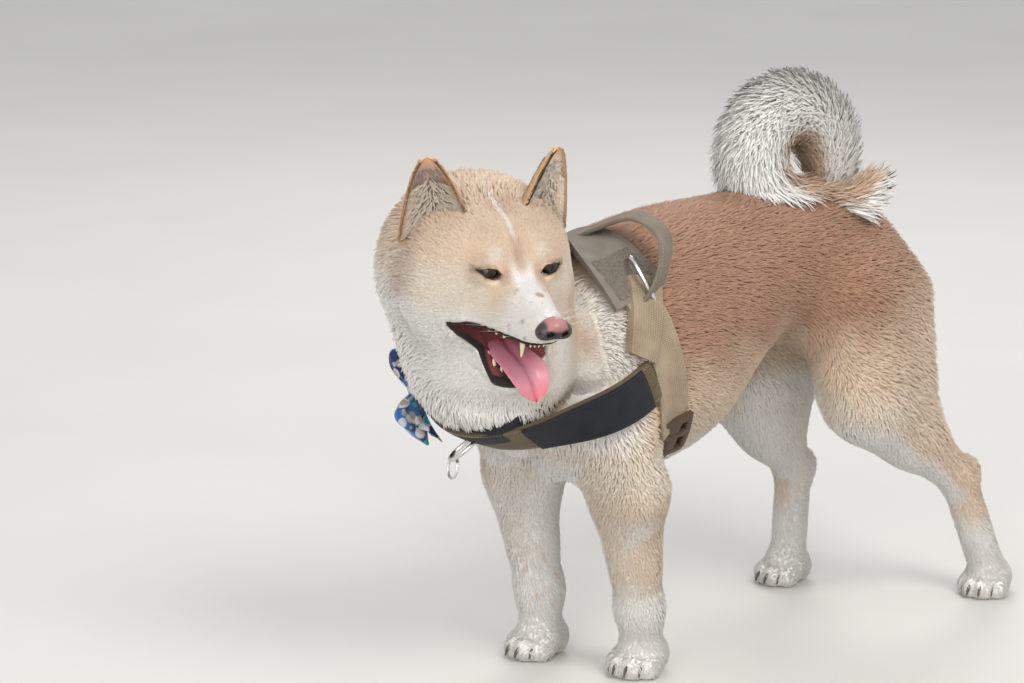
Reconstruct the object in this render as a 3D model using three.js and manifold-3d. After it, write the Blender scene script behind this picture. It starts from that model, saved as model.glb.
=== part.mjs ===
// A shiba inu standing in a walking harness, a collar and a bow, as a life-size still model.
// Millimetres, +Z up. The body faces -Y, the animal's left is +X, and the head is turned to its left.
import * as THREE from "three";
import { mergeVertices } from "three/addons/utils/BufferGeometryUtils.js";
import Module from "manifold-3d";

const wasm = await Module();
wasm.setup();

// Driving dimensions of the animal, coat included
const WITHERS_HEIGHT = 400;
const CHEST_HALF_WIDTH = 88;
const CHEST_FLOOR = 180;
const GAP = 0.3;
const CLEARANCES = [0.42, 0.46, 0.39, 0.5, 0.55, 0.6, 0.7];
const OVERLAP = 0.003;
const NEAR = 0.12;
const SPLIT_COST = 0.02;
const HEAD_TURN = 71;
const HEAD_NOD = 8;
const EYE_MIDDLE = [84, -348, 395];
const EYE_SPREAD = 28;
const EYE_RADIUS = 10.5;
const EYE_SHOWS = 2.2;
const LID_RISES = 1;
const HEAD_CUT = -84;
const COLLAR_WIDTH = 24;
const SIDE_STRAP_WIDTH = 38;
const CHEST_STRAP_WIDTH = 38;
const WEBBING = 2.6;
const SUNK = 3;

// Small vector helpers on [x, y, z] lists
const add = (a, b) => [a[0] + b[0], a[1] + b[1], a[2] + b[2]];
const sub = (a, b) => [a[0] - b[0], a[1] - b[1], a[2] - b[2]];
const times = (a, s) => [a[0] * s, a[1] * s, a[2] * s];
const dot = (a, b) => a[0] * b[0] + a[1] * b[1] + a[2] * b[2];
const cross = (a, b) => [
  a[1] * b[2] - a[2] * b[1],
  a[2] * b[0] - a[0] * b[2],
  a[0] * b[1] - a[1] * b[0],
];
const size = (a) => Math.hypot(a[0], a[1], a[2]);
const unit = (a) => times(a, 1 / (size(a) || 1));
const mix = (a, b, t) => add(times(a, 1 - t), times(b, t));
const clamp = (x, lo, hi) => Math.min(hi, Math.max(lo, x));
const radians = THREE.MathUtils.degToRad;
const other = ([x, y, z]) => [-x, y, z];

// The head's own frame: forward, left and up, with its origin midway between the eyes
const turn = radians(HEAD_TURN);
const nod = radians(HEAD_NOD);
const HEAD_FORWARD = [
  Math.sin(turn) * Math.cos(nod),
  -Math.cos(turn) * Math.cos(nod),
  -Math.sin(nod),
];
const HEAD_LEFT = [Math.cos(turn), Math.sin(turn), 0];
const HEAD_UP = cross(HEAD_FORWARD, HEAD_LEFT);
const fromHead = ([f, l, u]) =>
  add(
    EYE_MIDDLE,
    add(times(HEAD_FORWARD, f), add(times(HEAD_LEFT, l), times(HEAD_UP, u))),
  );
const toHead = (p) => {
  const d = sub(p, EYE_MIDDLE);
  return [dot(d, HEAD_FORWARD), dot(d, HEAD_LEFT), dot(d, HEAD_UP)];
};

// Distance fields: a tapered limb and an ellipsoid, joined by a soft blend
const limb = (from, to, r0, r1, soft = 20) => ({ from, to, r0, r1, soft });
const ball = (at, radii, soft = 20) => ({ at, radii, soft });
function distanceTo(shape, p) {
  if (shape.at) {
    const q = sub(p, shape.at);
    const [a, b, c] = shape.radii;
    const near = Math.hypot(q[0] / a, q[1] / b, q[2] / c);
    const slope = Math.hypot(q[0] / (a * a), q[1] / (b * b), q[2] / (c * c));
    return slope < 1e-9 ? -Math.min(a, b, c) : (near * (near - 1)) / slope;
  }
  const axis = sub(shape.to, shape.from);
  const q = sub(p, shape.from);
  const t = clamp(dot(q, axis) / dot(axis, axis), 0, 1);
  return size(sub(q, times(axis, t))) - (shape.r0 + (shape.r1 - shape.r0) * t);
}
function blend(a, b, soft) {
  const h = Math.max(soft - Math.abs(a - b), 0) / soft;
  return Math.min(a, b) - (h * h * soft) / 4;
}
const carve = (a, b, soft) => -blend(-a, b, soft);
const blendAll = (shapes, p, start = 1e3) =>
  shapes.reduce((d, s) => blend(d, distanceTo(s, p), s.soft), start);

// Trunk and neck
const chestMiddle = (WITHERS_HEIGHT + CHEST_FLOOR) / 2;
const chestHalfHeight = (WITHERS_HEIGHT - CHEST_FLOOR) / 2;
const TRUNK = [
  ball([0, -116, chestMiddle], [CHEST_HALF_WIDTH, 139, chestHalfHeight], 30),
  ball([0, -195, 262], [80, 80, 84], 30),
  ball([0, -95, 350], [46, 80, 50], 40),
  ball([0, 45, 342], [73, 135, 72], 60),
  ball([0, 145, 320], [74, 88, 72], 50),
];
const NECK = [
  limb([0, -150, 284], [-4, -282, 314], 86, 80, 45),
  limb([-4, -286, 318], [-16, -306, 384], 84, 86, 30),
];

// Legs: each is a chain of joints from the trunk to the wrist or hock, with a paw below
const FORE = {
  left: {
    shoulder: [50, -215, 268],
    elbow: [64, -192, 178],
    wrist: [57, -167, 62],
    foot: [54, -159, 16],
  },
  right: {
    shoulder: [-50, -220, 262],
    elbow: [-60, -200, 172],
    wrist: [-53, -184, 62],
    foot: [-50, -184, 16],
  },
};
const HIND = {
  left: {
    hip: [48, 132, 300],
    knee: [74, 118, 218],
    calf: [84, 178, 172],
    hock: [102, 231, 122],
    foot: [111, 273, 18],
  },
  right: {
    hip: [-48, 132, 300],
    knee: [-60, 108, 212],
    calf: [-60, 140, 160],
    hock: [-58, 176, 112],
    foot: [-56, 166, 18],
  },
};
const foreShapes = (g) => [
  limb(g.shoulder, g.elbow, 46, 36, 30),
  limb(g.elbow, g.wrist, 34, 21, 20),
  limb(add(g.elbow, [0, 26, 4]), mix(g.elbow, g.wrist, 0.4), 12, 14, 16),
  limb(g.wrist, g.foot, 22, 19, 14),
];
const hindShapes = (g) => [
  limb(g.hip, mix(g.knee, g.calf, 0.2), 62, 42, 40),
  limb(add(g.hip, [0, 47, -6]), g.calf, 49, 31, 30),
  limb(g.knee, g.hock, 38, 19, 24),
  limb(g.hock, g.foot, 18, 18, 12),
  ball(add(g.hock, [0, 12, 4]), [11, 15, 14], 12),
];
const PAW_SIZE = { fore: 1, hind: 0.94 };
const TOES = [
  { side: -16, reach: 16, r: 11 },
  { side: -6, reach: 24, r: 11.5 },
  { side: 6, reach: 24, r: 11.5 },
  { side: 16, reach: 16, r: 11 },
];
function pawShapes([x, y], way, scale) {
  const ahead = [Math.sin(way), -Math.cos(way)];
  const spot = (side, reach, z) => [
    x + scale * (ahead[0] * reach - ahead[1] * side),
    y + scale * (ahead[1] * reach + ahead[0] * side),
    z * scale,
  ];
  return [
    limb(spot(0, -8, 16), spot(0, 6, 20), 19 * scale, 19 * scale, 10),
    ...TOES.map(({ side, reach, r }) =>
      limb(spot(side * 0.8, 2, 18), spot(side, reach, 9), r * scale, r * scale, 4),
    ),
  ];
}
const PAWS = {
  foreleg_left: { foot: FORE.left.foot, way: radians(8), scale: PAW_SIZE.fore },
  foreleg_right: { foot: FORE.right.foot, way: radians(-4), scale: PAW_SIZE.fore },
  hindleg_left: { foot: HIND.left.foot, way: radians(12), scale: PAW_SIZE.hind },
  hindleg_right: { foot: HIND.right.foot, way: radians(-6), scale: PAW_SIZE.hind },
};

// Head, in its own frame, for the left half; the right half mirrors it
const SKULL = [
  ball([-62, 0, 4], [62, 58, 48], 16),
  ball([-24, 19, 6], [25, 22, 21], 18),
  ball([-56, 42, -26], [48, 42, 46], 30),
  ball([-46, 0, -34], [42, 40, 30], 20),
  limb([-6, 0, -24], [50, 0, -27], 32, 18, 16),
  limb([-8, 19, -36], [44, 9, -36], 17, 11, 10),
];
const JAW = [
  limb([-52, 26, -56], [-2, 8, -93], 17, 10, 12),
  ball([2, 0, -95], [12, 13, 9], 10),
  limb([-52, 0, -70], [-8, 0, -97], 20, 9, 14),
];
const MOUTH = { corner: -37, at: -61, roof: 0.3, floor: -0.78, roofRise: 18, floorFall: 31 };
const MOUTH_FLOOR = [limb([-40, 0, -50], [6, 0, -80], 19, 11, 6)];
const headField = (p) => {
  const [f, l, u] = toHead(p);
  return blendAll(SKULL, [f, Math.abs(l), u]);
};
// The open mouth is a wedge that starts at the corners and widens forward
function mouthField(p) {
  const [f, , u] = toHead(p);
  const along = f - MOUTH.corner;
  const roof = MOUTH.at + Math.min(MOUTH.roofRise, along * MOUTH.roof + 3);
  const floor = MOUTH.at - Math.min(MOUTH.floorFall, -along * MOUTH.floor + 3);
  return Math.max(u - roof, floor - u, -along, f - 75);
}
const jawField = (p) => {
  const [f, l, u] = toHead(p);
  return carve(blendAll(JAW, [f, Math.abs(l), u]), blendAll(MOUTH_FLOOR, [f, l, u]), 5);
};
const trunkField = (p) => blendAll([...TRUNK, ...NECK], p);
const legField = (p, shapes) => blendAll(shapes, p);
const LEG_SHAPES = {
  foreleg_left: foreShapes(FORE.left),
  foreleg_right: foreShapes(FORE.right),
  hindleg_left: hindShapes(HIND.left),
  hindleg_right: hindShapes(HIND.right),
};
const bodyField = (p) => {
  let d = trunkField(p);
  for (const shapes of Object.values(LEG_SHAPES)) d = blend(d, legField(p, shapes), 26);
  return d;
};
const fleshField = (p) => carve(blend(bodyField(p), headField(p), 34), mouthField(p), 4);

// Surface nets: one vertex in each cell that the surface crosses, drawn onto the surface
const EDGES = [];
for (let a = 0; a < 8; a++)
  for (const bit of [1, 2, 4]) if (!(a & bit)) EDGES.push([a, a | bit]);
const corner = (k) => [k & 1, (k >> 1) & 1, (k >> 2) & 1];
function slopeOf(field, p, step = 0.5) {
  return [0, 1, 2].map((k) => {
    const d = [0, 0, 0];
    d[k] = step;
    return (field(add(p, d)) - field(sub(p, d))) / (2 * step);
  });
}
function surfaceOf(field, lo, hi, cell) {
  const count = [0, 1, 2].map((k) => Math.ceil((hi[k] - lo[k]) / cell) + 1);
  const index = (i, j, k) => i + count[0] * (j + count[1] * k);
  const place = (i, j, k) => [lo[0] + i * cell, lo[1] + j * cell, lo[2] + k * cell];
  const values = new Float64Array(count[0] * count[1] * count[2]);
  for (let k = 0; k < count[2]; k++)
    for (let j = 0; j < count[1]; j++)
      for (let i = 0; i < count[0]; i++) {
        const rim =
          !i || !j || !k || i === count[0] - 1 || j === count[1] - 1 || k === count[2] - 1;
        values[index(i, j, k)] = rim ? cell : field(place(i, j, k));
      }
  const vertexOf = new Map();
  const points = [];
  for (let k = 0; k < count[2] - 1; k++)
    for (let j = 0; j < count[1] - 1; j++)
      for (let i = 0; i < count[0] - 1; i++) {
        const at = (c) => {
          const [a, b, d] = corner(c);
          return values[index(i + a, j + b, k + d)];
        };
        let sum = [0, 0, 0];
        let n = 0;
        for (const [a, b] of EDGES) {
          const va = at(a);
          const vb = at(b);
          if (va < 0 === vb < 0) continue;
          sum = add(sum, mix(corner(a), corner(b), va / (va - vb)));
          n++;
        }
        if (!n) continue;
        let p = add(place(i, j, k), times(sum, cell / n));
        for (let step = 0; step < 2; step++) {
          const g = slopeOf(field, p);
          const move = times(g, -field(p) / Math.max(dot(g, g), 0.3));
          p = add(p, times(move, Math.min(1, (0.35 * cell) / (size(move) || 1))));
        }
        vertexOf.set(index(i, j, k), points.length);
        points.push(p);
      }
  const faces = [];
  for (let k = 0; k < count[2] - 1; k++)
    for (let j = 0; j < count[1] - 1; j++)
      for (let i = 0; i < count[0] - 1; i++) {
        const here = values[index(i, j, k)] < 0;
        [0, 1, 2].forEach((axis) => {
          const next = [i, j, k];
          next[axis]++;
          if (here === values[index(...next)] < 0) return;
          const u = (axis + 1) % 3;
          const v = (axis + 2) % 3;
          const quad = [
            [0, 0],
            [-1, 0],
            [-1, -1],
            [0, -1],
          ].map(([du, dv]) => {
            const q = [i, j, k];
            q[u] += du;
            q[v] += dv;
            return vertexOf.get(index(...q));
          });
          if (!here) quad.reverse();
          const [a, b, c, d] = quad;
          const ac = size(sub(points[a], points[c]));
          const bd = size(sub(points[b], points[d]));
          if (ac < bd) faces.push([a, b, c], [a, c, d]);
          else faces.push([a, b, d], [b, c, d]);
        });
      }
  return { points, faces };
}
// Edges are folded away, cheapest first, until the mesh is as light as asked
function lightened(points, faces, target, most = 1e9) {
  const live = faces.map((f) => [...f]);
  const at = points.map((p) => [...p]);
  const facesOf = at.map(() => new Set());
  live.forEach((f, i) => f.forEach((v) => facesOf[v].add(i)));
  const planeOf = ([a, b, c]) => cross(sub(at[b], at[a]), sub(at[c], at[a]));
  const quadrics = at.map(() => new Float64Array(10));
  const addPlane = (q, n, d, w) => {
    const v = [n[0], n[1], n[2], d];
    let k = 0;
    for (let i = 0; i < 4; i++) for (let j = i; j < 4; j++) q[k++] += w * v[i] * v[j];
  };
  live.forEach((f) => {
    const n = planeOf(f);
    const way = unit(n);
    for (const v of f) addPlane(quadrics[v], way, -dot(way, at[f[0]]), size(n));
  });
  const costOf = (q, r, p) => {
    const v = [p[0], p[1], p[2], 1];
    let sum = 0;
    let k = 0;
    for (let i = 0; i < 4; i++)
      for (let j = i; j < 4; j++) {
        sum += (q[k] + r[k]) * v[i] * v[j] * (i === j ? 1 : 2);
        k++;
      }
    return sum;
  };
  const ringOf = (v) => {
    const ring = new Set();
    for (const f of facesOf[v]) for (const w of live[f]) if (w !== v) ring.add(w);
    return ring;
  };
  const staysSound = (from, gone, p) => {
    for (const f of facesOf[from]) {
      if (live[f].includes(gone)) continue;
      const before = unit(planeOf(live[f]));
      const [a, b, c] = live[f].map((v) => (v === from ? p : at[v]));
      const n = cross(sub(b, a), sub(c, a));
      const long = Math.max(size(sub(b, a)), size(sub(c, b)), size(sub(a, c)));
      if (dot(unit(n), before) < 0.5 || size(n) < 0.12 * long * long) return false;
    }
    return true;
  };
  let count = live.length;
  let limit = Math.min(1, most / 8);
  while (count > target && limit < most) {
    const edges = [];
    live.forEach((f) => {
      if (!f) return;
      for (let k = 0; k < 3; k++) {
        const [a, b] = [f[k], f[(k + 1) % 3]];
        if (a > b) continue;
        const p = times(add(at[a], at[b]), 0.5);
        const best = [p, at[a], at[b]]
          .map((q) => ({ q, cost: costOf(quadrics[a], quadrics[b], q) }))
          .reduce((x, y) => (y.cost < x.cost ? y : x));
        if (best.cost < limit) edges.push({ a, b, ...best });
      }
    });
    edges.sort((x, y) => x.cost - y.cost);
    const touched = new Set();
    for (const { a, b, q } of edges) {
      if (count <= target) break;
      if (touched.has(a) || touched.has(b)) continue;
      const [ra, rb] = [ringOf(a), ringOf(b)];
      const shared = [...ra].filter((v) => rb.has(v));
      if (shared.length !== 2 || ra.size + rb.size > 20) continue;
      if (!staysSound(a, b, q) || !staysSound(b, a, q)) continue;
      for (const f of [...facesOf[b]]) {
        if (live[f].includes(a)) {
          for (const v of live[f]) facesOf[v].delete(f);
          live[f] = null;
          count--;
        } else {
          live[f] = live[f].map((v) => (v === b ? a : v));
          facesOf[a].add(f);
        }
      }
      facesOf[b].clear();
      at[a] = [...q];
      quadrics[b].forEach((w, k) => (quadrics[a][k] += w));
      for (const v of [...ra, ...rb]) touched.add(v);
    }
    limit *= 1.6;
  }
  const name = new Map();
  const kept = live.filter((f) => f);
  kept.flat().forEach((v) => name.has(v) || name.set(v, name.size));
  return {
    points: [...name.keys()].map((v) => at[v]),
    faces: kept.map((f) => f.map((v) => name.get(v))),
  };
}
function geometryOf(points, faces) {
  return new THREE.BufferGeometry()
    .setAttribute("position", new THREE.Float32BufferAttribute(points.flat(), 3))
    .setIndex(faces.flat());
}

// Solids in and out of the Boolean library
function solidOf(geometry) {
  const bare = geometry.clone();
  bare.deleteAttribute("normal");
  bare.deleteAttribute("uv");
  const merged = mergeVertices(bare, 1e-4);
  return new wasm.Manifold(
    new wasm.Mesh({
      numProp: 3,
      vertProperties: new Float32Array(merged.attributes.position.array),
      triVerts: new Uint32Array(merged.index.array),
    }),
  );
}
// True where each edge is met by one face on either side
function isClosed(faces) {
  const uses = new Set();
  for (const face of faces)
    for (let k = 0; k < 3; k++) {
      const key = `${face[k]},${face[(k + 1) % 3]}`;
      if (uses.has(key)) return false;
      uses.add(key);
    }
  return [...uses].every((key) => uses.has(key.split(",").reverse().join()));
}
// Points that lie almost together are made one, as long as the mesh stays closed
function settled(solid) {
  const mesh = solid.getMesh();
  for (const grain of [0.01, 0.004, 0.02, 0.0015, 0.03, 0.05]) {
    const names = new Map();
    const points = [];
    const nameOf = [];
    for (let i = 0; i < mesh.numVert; i++) {
      const p = [...mesh.vertProperties.slice(i * mesh.numProp, i * mesh.numProp + 3)];
      const key = p.map((x) => Math.round(x / grain)).join();
      if (!names.has(key)) {
        names.set(key, points.length);
        points.push(p);
      }
      nameOf.push(names.get(key));
    }
    const faces = [];
    for (let t = 0; t < mesh.triVerts.length; t += 3) {
      const [a, b, c] = [0, 1, 2].map((k) => nameOf[mesh.triVerts[t + k]]);
      if (a !== b && b !== c && c !== a) faces.push([a, b, c]);
    }
    if (isClosed(faces)) return solidOf(geometryOf(points, faces));
  }
  return null;
}
const largest = (solid) =>
  solid.decompose().reduce((a, b) => (b.volume() > a.volume() ? b : a));
const halfSpace = (point, normal, reach = 900) => {
  const box = new THREE.BoxGeometry(reach, reach, reach);
  const turned = new THREE.Quaternion().setFromUnitVectors(
    new THREE.Vector3(0, 0, 1),
    new THREE.Vector3(...unit(normal)),
  );
  box.applyQuaternion(turned);
  box.translate(...add(point, times(unit(normal), reach / 2)));
  return solidOf(box);
};
// The same mesh with each vertex moved out along its normal, to cut a neighbour clear of it
function swollen(solid, by) {
  const mesh = solid.getMesh();
  const points = [];
  for (let i = 0; i < mesh.numVert; i++)
    points.push([...mesh.vertProperties.slice(i * mesh.numProp, i * mesh.numProp + 3)]);
  const normals = points.map(() => [0, 0, 0]);
  const tris = mesh.triVerts;
  for (let t = 0; t < tris.length; t += 3) {
    const [a, b, c] = [tris[t], tris[t + 1], tris[t + 2]];
    const n = unit(cross(sub(points[b], points[a]), sub(points[c], points[a])));
    for (const [v, p, q] of [
      [a, b, c],
      [b, c, a],
      [c, a, b],
    ]) {
      const e = unit(sub(points[p], points[v]));
      const g = unit(sub(points[q], points[v]));
      normals[v] = add(normals[v], times(n, Math.acos(clamp(dot(e, g), -1, 1))));
    }
  }
  const moved = points.map((p, i) => add(p, times(unit(normals[i]), by)));
  const faces = [];
  for (let t = 0; t < tris.length; t += 3) faces.push([tris[t], tris[t + 1], tris[t + 2]]);
  return solidOf(geometryOf(moved, faces));
}

// Closed skins drawn through rings of points, capped at both ends or joined end to end
function skinOf(rings, joined = false) {
  const n = rings[0].length;
  const points = rings.flat();
  const faces = [];
  const last = joined ? rings.length : rings.length - 1;
  for (let r = 0; r < last; r++)
    for (let k = 0; k < n; k++) {
      const q = (r + 1) % rings.length;
      const [a, b] = [r * n + k, r * n + ((k + 1) % n)];
      const [c, d] = [q * n + ((k + 1) % n), q * n + k];
      faces.push([a, b, c], [a, c, d]);
    }
  if (!joined)
    [0, rings.length - 1].forEach((r, end) => {
      const hub = points.length;
      points.push(times(rings[r].reduce(add), 1 / n));
      for (let k = 0; k < n; k++) {
        const [a, b] = [r * n + k, r * n + ((k + 1) % n)];
        faces.push(end ? [hub, a, b] : [hub, b, a]);
      }
    });
  const volume = faces.reduce(
    (sum, [a, b, c]) => sum + dot(points[a], cross(points[b], points[c])),
    0,
  );
  if (volume < 0) faces.forEach((f) => f.reverse());
  return solidOf(geometryOf(points, faces));
}
const steps = (n) => Array.from({ length: n + 1 }, (_, k) => k / n);
const valueAt = (v, t) => (typeof v === "function" ? v(t) : v);
function curveOf(points, closed = false) {
  const curve = new THREE.CatmullRomCurve3(
    points.map((p) => new THREE.Vector3(...p)),
    closed,
    "centripetal",
  );
  return {
    at: (t) => curve.getPoint(t).toArray(),
    way: (t) => curve.getTangent(t).toArray(),
  };
}
// A tube along a curve, its section an ellipse or, with four sides, a flat ribbon
function tubeOf({ path, count, sides, across, through, wide = [0, 0, 1], closed = false }) {
  const stations = closed ? steps(count).slice(0, -1) : steps(count);
  const shift = sides === 4 ? Math.PI / 4 : 0;
  const rings = stations.map((t) => {
    const way = unit(path.way(t));
    const out = unit(cross(way, valueAt(wide, t)));
    const side = cross(out, way);
    return steps(sides)
      .slice(0, -1)
      .map((k) => {
        const angle = 2 * Math.PI * k + shift;
        const w = valueAt(across, t) * Math.cos(angle);
        const h = valueAt(through, t) * Math.sin(angle);
        return add(path.at(t), add(times(side, w), times(out, h)));
      });
  });
  return skinOf(rings, closed);
}
const headCurve = (points) => curveOf(points.map(fromHead));

// Straps: a plane through the body is swept by rays, and the band lies where they leave the coat
function reachTo(field, from, way, level, far = 240) {
  let lo = 0;
  let hi = far;
  for (let step = 0; step < 22; step++) {
    const mid = (lo + hi) / 2;
    if (field(add(from, times(way, mid))) < level) lo = mid;
    else hi = mid;
  }
  return add(from, times(way, (lo + hi) / 2));
}
function strap({ field, middle, axis, start, from, to, width, under, over, count }) {
  const normal = unit(axis);
  const first = unit(sub(start, times(normal, dot(start, normal))));
  const second = cross(normal, first);
  const whole = to - from >= 360;
  const stations = whole ? steps(count).slice(0, -1) : steps(count);
  const rings = stations.map((t) => {
    const angle = radians(from + (to - from) * t);
    const way = add(times(first, Math.cos(angle)), times(second, Math.sin(angle)));
    const half = valueAt(width, t) / 2;
    const across = width > 60 ? [-1, 0, 1] : [-1, 1];
    const rows = across.map((s) => add(middle, times(normal, s * half)));
    const low = rows.map((p) => reachTo(field, p, way, -under));
    const high = rows.map((p) => reachTo(field, p, way, over));
    return [...low, ...high.reverse()];
  });
  return skinOf(rings, whole);
}

const made = new Map();
const SIDES = { left: 1, right: -1 };
const sided = (point, s) => [point[0] * s, point[1], point[2]];
const mirrored = (point, s) => [point[0], point[1] * s, point[2]];

// Harness: patches, buckles and rings first, because each later piece is cut clear of them
const girthBand = {
  middle: [0, -174, 290],
  axis: [0, 1, 0.2],
  start: [0, 0, 1],
  under: SUNK,
  over: WEBBING,
};
const chestBand = {
  field: bodyField,
  middle: [0, -196, 282],
  axis: [0, -0.4, 0.915],
  start: [0, -0.915, -0.4],
  under: SUNK,
  over: WEBBING,
};
const shoulderBand = {
  field: bodyField,
  middle: [0, -205, 307],
  axis: [0, 1, -0.5],
  start: [0, 0, 1],
  under: SUNK,
  over: WEBBING,
};
const spanOn = (s, low, high) => (s > 0 ? { from: low, to: high } : { from: -high, to: -low });
function patch(s) {
  return strap({
    ...chestBand,
    ...spanOn(s, 24, 84),
    width: CHEST_STRAP_WIDTH,
    under: -WEBBING - GAP,
    over: 2 * WEBBING + 1,
    count: 8,
  });
}
function buckle(s) {
  return strap({
    ...girthBand,
    ...spanOn(s, 122, 132),
    field: trunkField,
    width: SIDE_STRAP_WIDTH + 6,
    over: WEBBING + 5,
    count: 2,
  });
}
const sideStrap = (s) =>
  strap({ ...girthBand, ...spanOn(s, 50, 123), field: bodyField, width: SIDE_STRAP_WIDTH, count: 7 });
const shoulderStrap = (s) =>
  strap({ ...shoulderBand, ...spanOn(s, 44, 92), width: 30, count: 5 });
const saddle = () =>
  strap({ ...girthBand, from: -50, to: 50, field: bodyField, width: 66, count: 8 });
const girth = () =>
  strap({ ...girthBand, from: 130, to: 230, field: trunkField, width: 34, count: 9 });
const chestStrap = () =>
  strap({ ...chestBand, from: -92, to: 92, width: CHEST_STRAP_WIDTH, count: 12 });
const HANDLE_POINTS = [
  [-52, -186, 352],
  [-30, -180, 382],
  [10, -170, 406],
  [46, -162, 418],
  [76, -160, 404],
  [82, -168, 372],
  [66, -184, 332],
];
const handle = () =>
  tubeOf({
    path: curveOf(HANDLE_POINTS),
    count: 18,
    sides: 4,
    across: 20,
    through: 2.6,
    wide: [-0.4, 1, 0.1],
  });
function ringOf(middle, along, across, long, short, wire) {
  const turnTo = (k) => 2 * Math.PI * k;
  const points = steps(10)
    .slice(0, -1)
    .map((k) =>
      add(
        middle,
        add(
          times(along, (long / 2) * Math.cos(turnTo(k))),
          times(across, (short / 2) * Math.sin(turnTo(k))),
        ),
      ),
    );
  return tubeOf({
    path: curveOf(points, true),
    count: 16,
    sides: 5,
    across: wire,
    through: wire,
    wide: cross(along, across),
    closed: true,
  });
}
const SADDLE_RING = {
  middle: [66, -176, 366],
  along: unit([0.45, 0.25, -0.86]),
  across: unit([-0.72, 0.66, -0.19]),
};
const COLLAR_RING = {
  middle: [-8, -325, 225],
  along: unit([-0.7, -0.35, -0.62]),
  across: unit([0.55, -0.8, -0.2]),
};
const squareTo = (way, to) => unit(sub(way, times(to, dot(way, to))));
const saddleRing = () =>
  ringOf(
    SADDLE_RING.middle,
    SADDLE_RING.along,
    squareTo(SADDLE_RING.across, SADDLE_RING.along),
    44,
    30,
    2.3,
  );
const collarRing = () =>
  ringOf(
    COLLAR_RING.middle,
    COLLAR_RING.along,
    squareTo(COLLAR_RING.across, COLLAR_RING.along),
    30,
    24,
    2,
  );

// Collar with a bow of folded cloth on the right side of the neck
const collarBand = {
  field: fleshField,
  middle: [-4, -268, 306],
  axis: [0, -0.79, 0.6],
  start: [0, 0, -1],
  under: SUNK,
  over: WEBBING,
};
const collar = () => strap({ ...collarBand, from: 0, to: 360, width: COLLAR_WIDTH, count: 20 });
const BOW_ANGLE = -55;
const bowFrame = (() => {
  const normal = unit(collarBand.axis);
  const first = unit(sub(collarBand.start, times(normal, dot(collarBand.start, normal))));
  const second = cross(normal, first);
  const angle = radians(BOW_ANGLE);
  const out = add(times(first, Math.cos(angle)), times(second, Math.sin(angle)));
  const along = add(times(first, -Math.sin(angle)), times(second, Math.cos(angle)));
  return { at: reachTo(fleshField, collarBand.middle, out, WEBBING + 8), out, along, normal };
})();
const inBow = ([a, o, n]) =>
  add(
    bowFrame.at,
    add(
      times(bowFrame.along, a),
      add(times(bowFrame.out, o), times(bowFrame.normal, n)),
    ),
  );
function bowLobe(s, lift, spread, length, tilt) {
  const points = steps(7).map((t) =>
    inBow([s * (5 + length * t), lift + 9 * Math.sin(2.4 * t), tilt * t * t]),
  );
  return tubeOf({
    path: curveOf(points),
    count: 7,
    sides: 10,
    across: (t) => 7 + (spread - 7) * Math.sin(Math.min(1, t * 1.25) * Math.PI * 0.5),
    through: (t) => 4.5 + 3.5 * Math.sin(Math.PI * t),
    wide: bowFrame.normal,
  });
}
const bowKnot = () =>
  tubeOf({
    path: curveOf([inBow([0, 1, -11]), inBow([0, 3, 0]), inBow([0, 1, 11])]),
    count: 4,
    sides: 8,
    across: 8,
    through: 7,
    wide: bowFrame.along,
  });

// Head pieces. A place on the face is found by a ray that runs forward out of the skull.
const onFace = ([l, u], lift) =>
  reachTo(headField, fromHead([-45, l, u]), HEAD_FORWARD, lift, 120);
const eye = (s) => {
  const ball = new THREE.SphereGeometry(EYE_RADIUS, 10, 8);
  const front = onFace([s * EYE_SPREAD, 0], EYE_SHOWS);
  ball.translate(...add(front, times(HEAD_FORWARD, -EYE_RADIUS)));
  return solidOf(ball);
};
const LID_LINES = {
  upper: [
    [18, -4],
    [23, 4.5],
    [31, 6],
    [38, 2],
  ],
  lower: [
    [18, -4],
    [24, -6],
    [32, -4.5],
    [38, 2],
  ],
};
const lid = (points, s) =>
  tubeOf({
    path: curveOf(points.map(([l, u]) => onFace([l * s, u], LID_RISES))),
    count: 7,
    sides: 6,
    across: (t) => 1 + 1.6 * Math.sin(Math.PI * t),
    through: (t) => 1 + 1.8 * Math.sin(Math.PI * t),
  });
const LIP_LINES = {
  upper: [
    [-34, 34, -62],
    [-12, 29, -52],
    [14, 23, -47],
    [36, 17, -44],
    [52, 8, -42],
    [56, 0, -41],
  ],
  lower: [
    [-40, 32, -64],
    [-24, 24, -76],
    [-8, 15, -87],
    [4, 8, -92],
    [8, 0, -93],
  ],
};
const lip = (points, thick) => {
  const whole = [...points, ...points.slice(0, -1).reverse().map((p) => mirrored(p, -1))];
  return tubeOf({
    path: headCurve(whole),
    count: 16,
    sides: 5,
    across: (t) => 1 + thick * Math.sin(Math.PI * clamp(t, 0.04, 0.96)),
    through: (t) => 1 + thick * Math.sin(Math.PI * clamp(t, 0.04, 0.96)),
  });
};
function tooth([f, l, u], length, radius, way = -1) {
  const root = fromHead([f, l, u - way * 3]);
  const tip = fromHead([f - 1, l, u + way * length]);
  return tubeOf({
    path: curveOf([root, tip]),
    count: 2,
    sides: 5,
    across: (t) => radius * (1 - 0.8 * t),
    through: (t) => radius * (1 - 0.8 * t),
    wide: HEAD_LEFT,
  });
}
const UPPER_TEETH = { canine: [[40, 13, -50], 11, 3.4] };
const LOWER_TEETH = { canine: [[-2, 10, -86], 9, 3] };
const PREMOLARS = { from: [-26, 19, -66], to: [-8, 14, -78], count: 4, length: 5, radius: 3 };
const TONGUE_POINTS = [
  [-38, 0, -64],
  [-14, 2, -72],
  [6, 6, -80],
  [17, 10, -91],
  [22, 13, -107],
];
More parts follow.
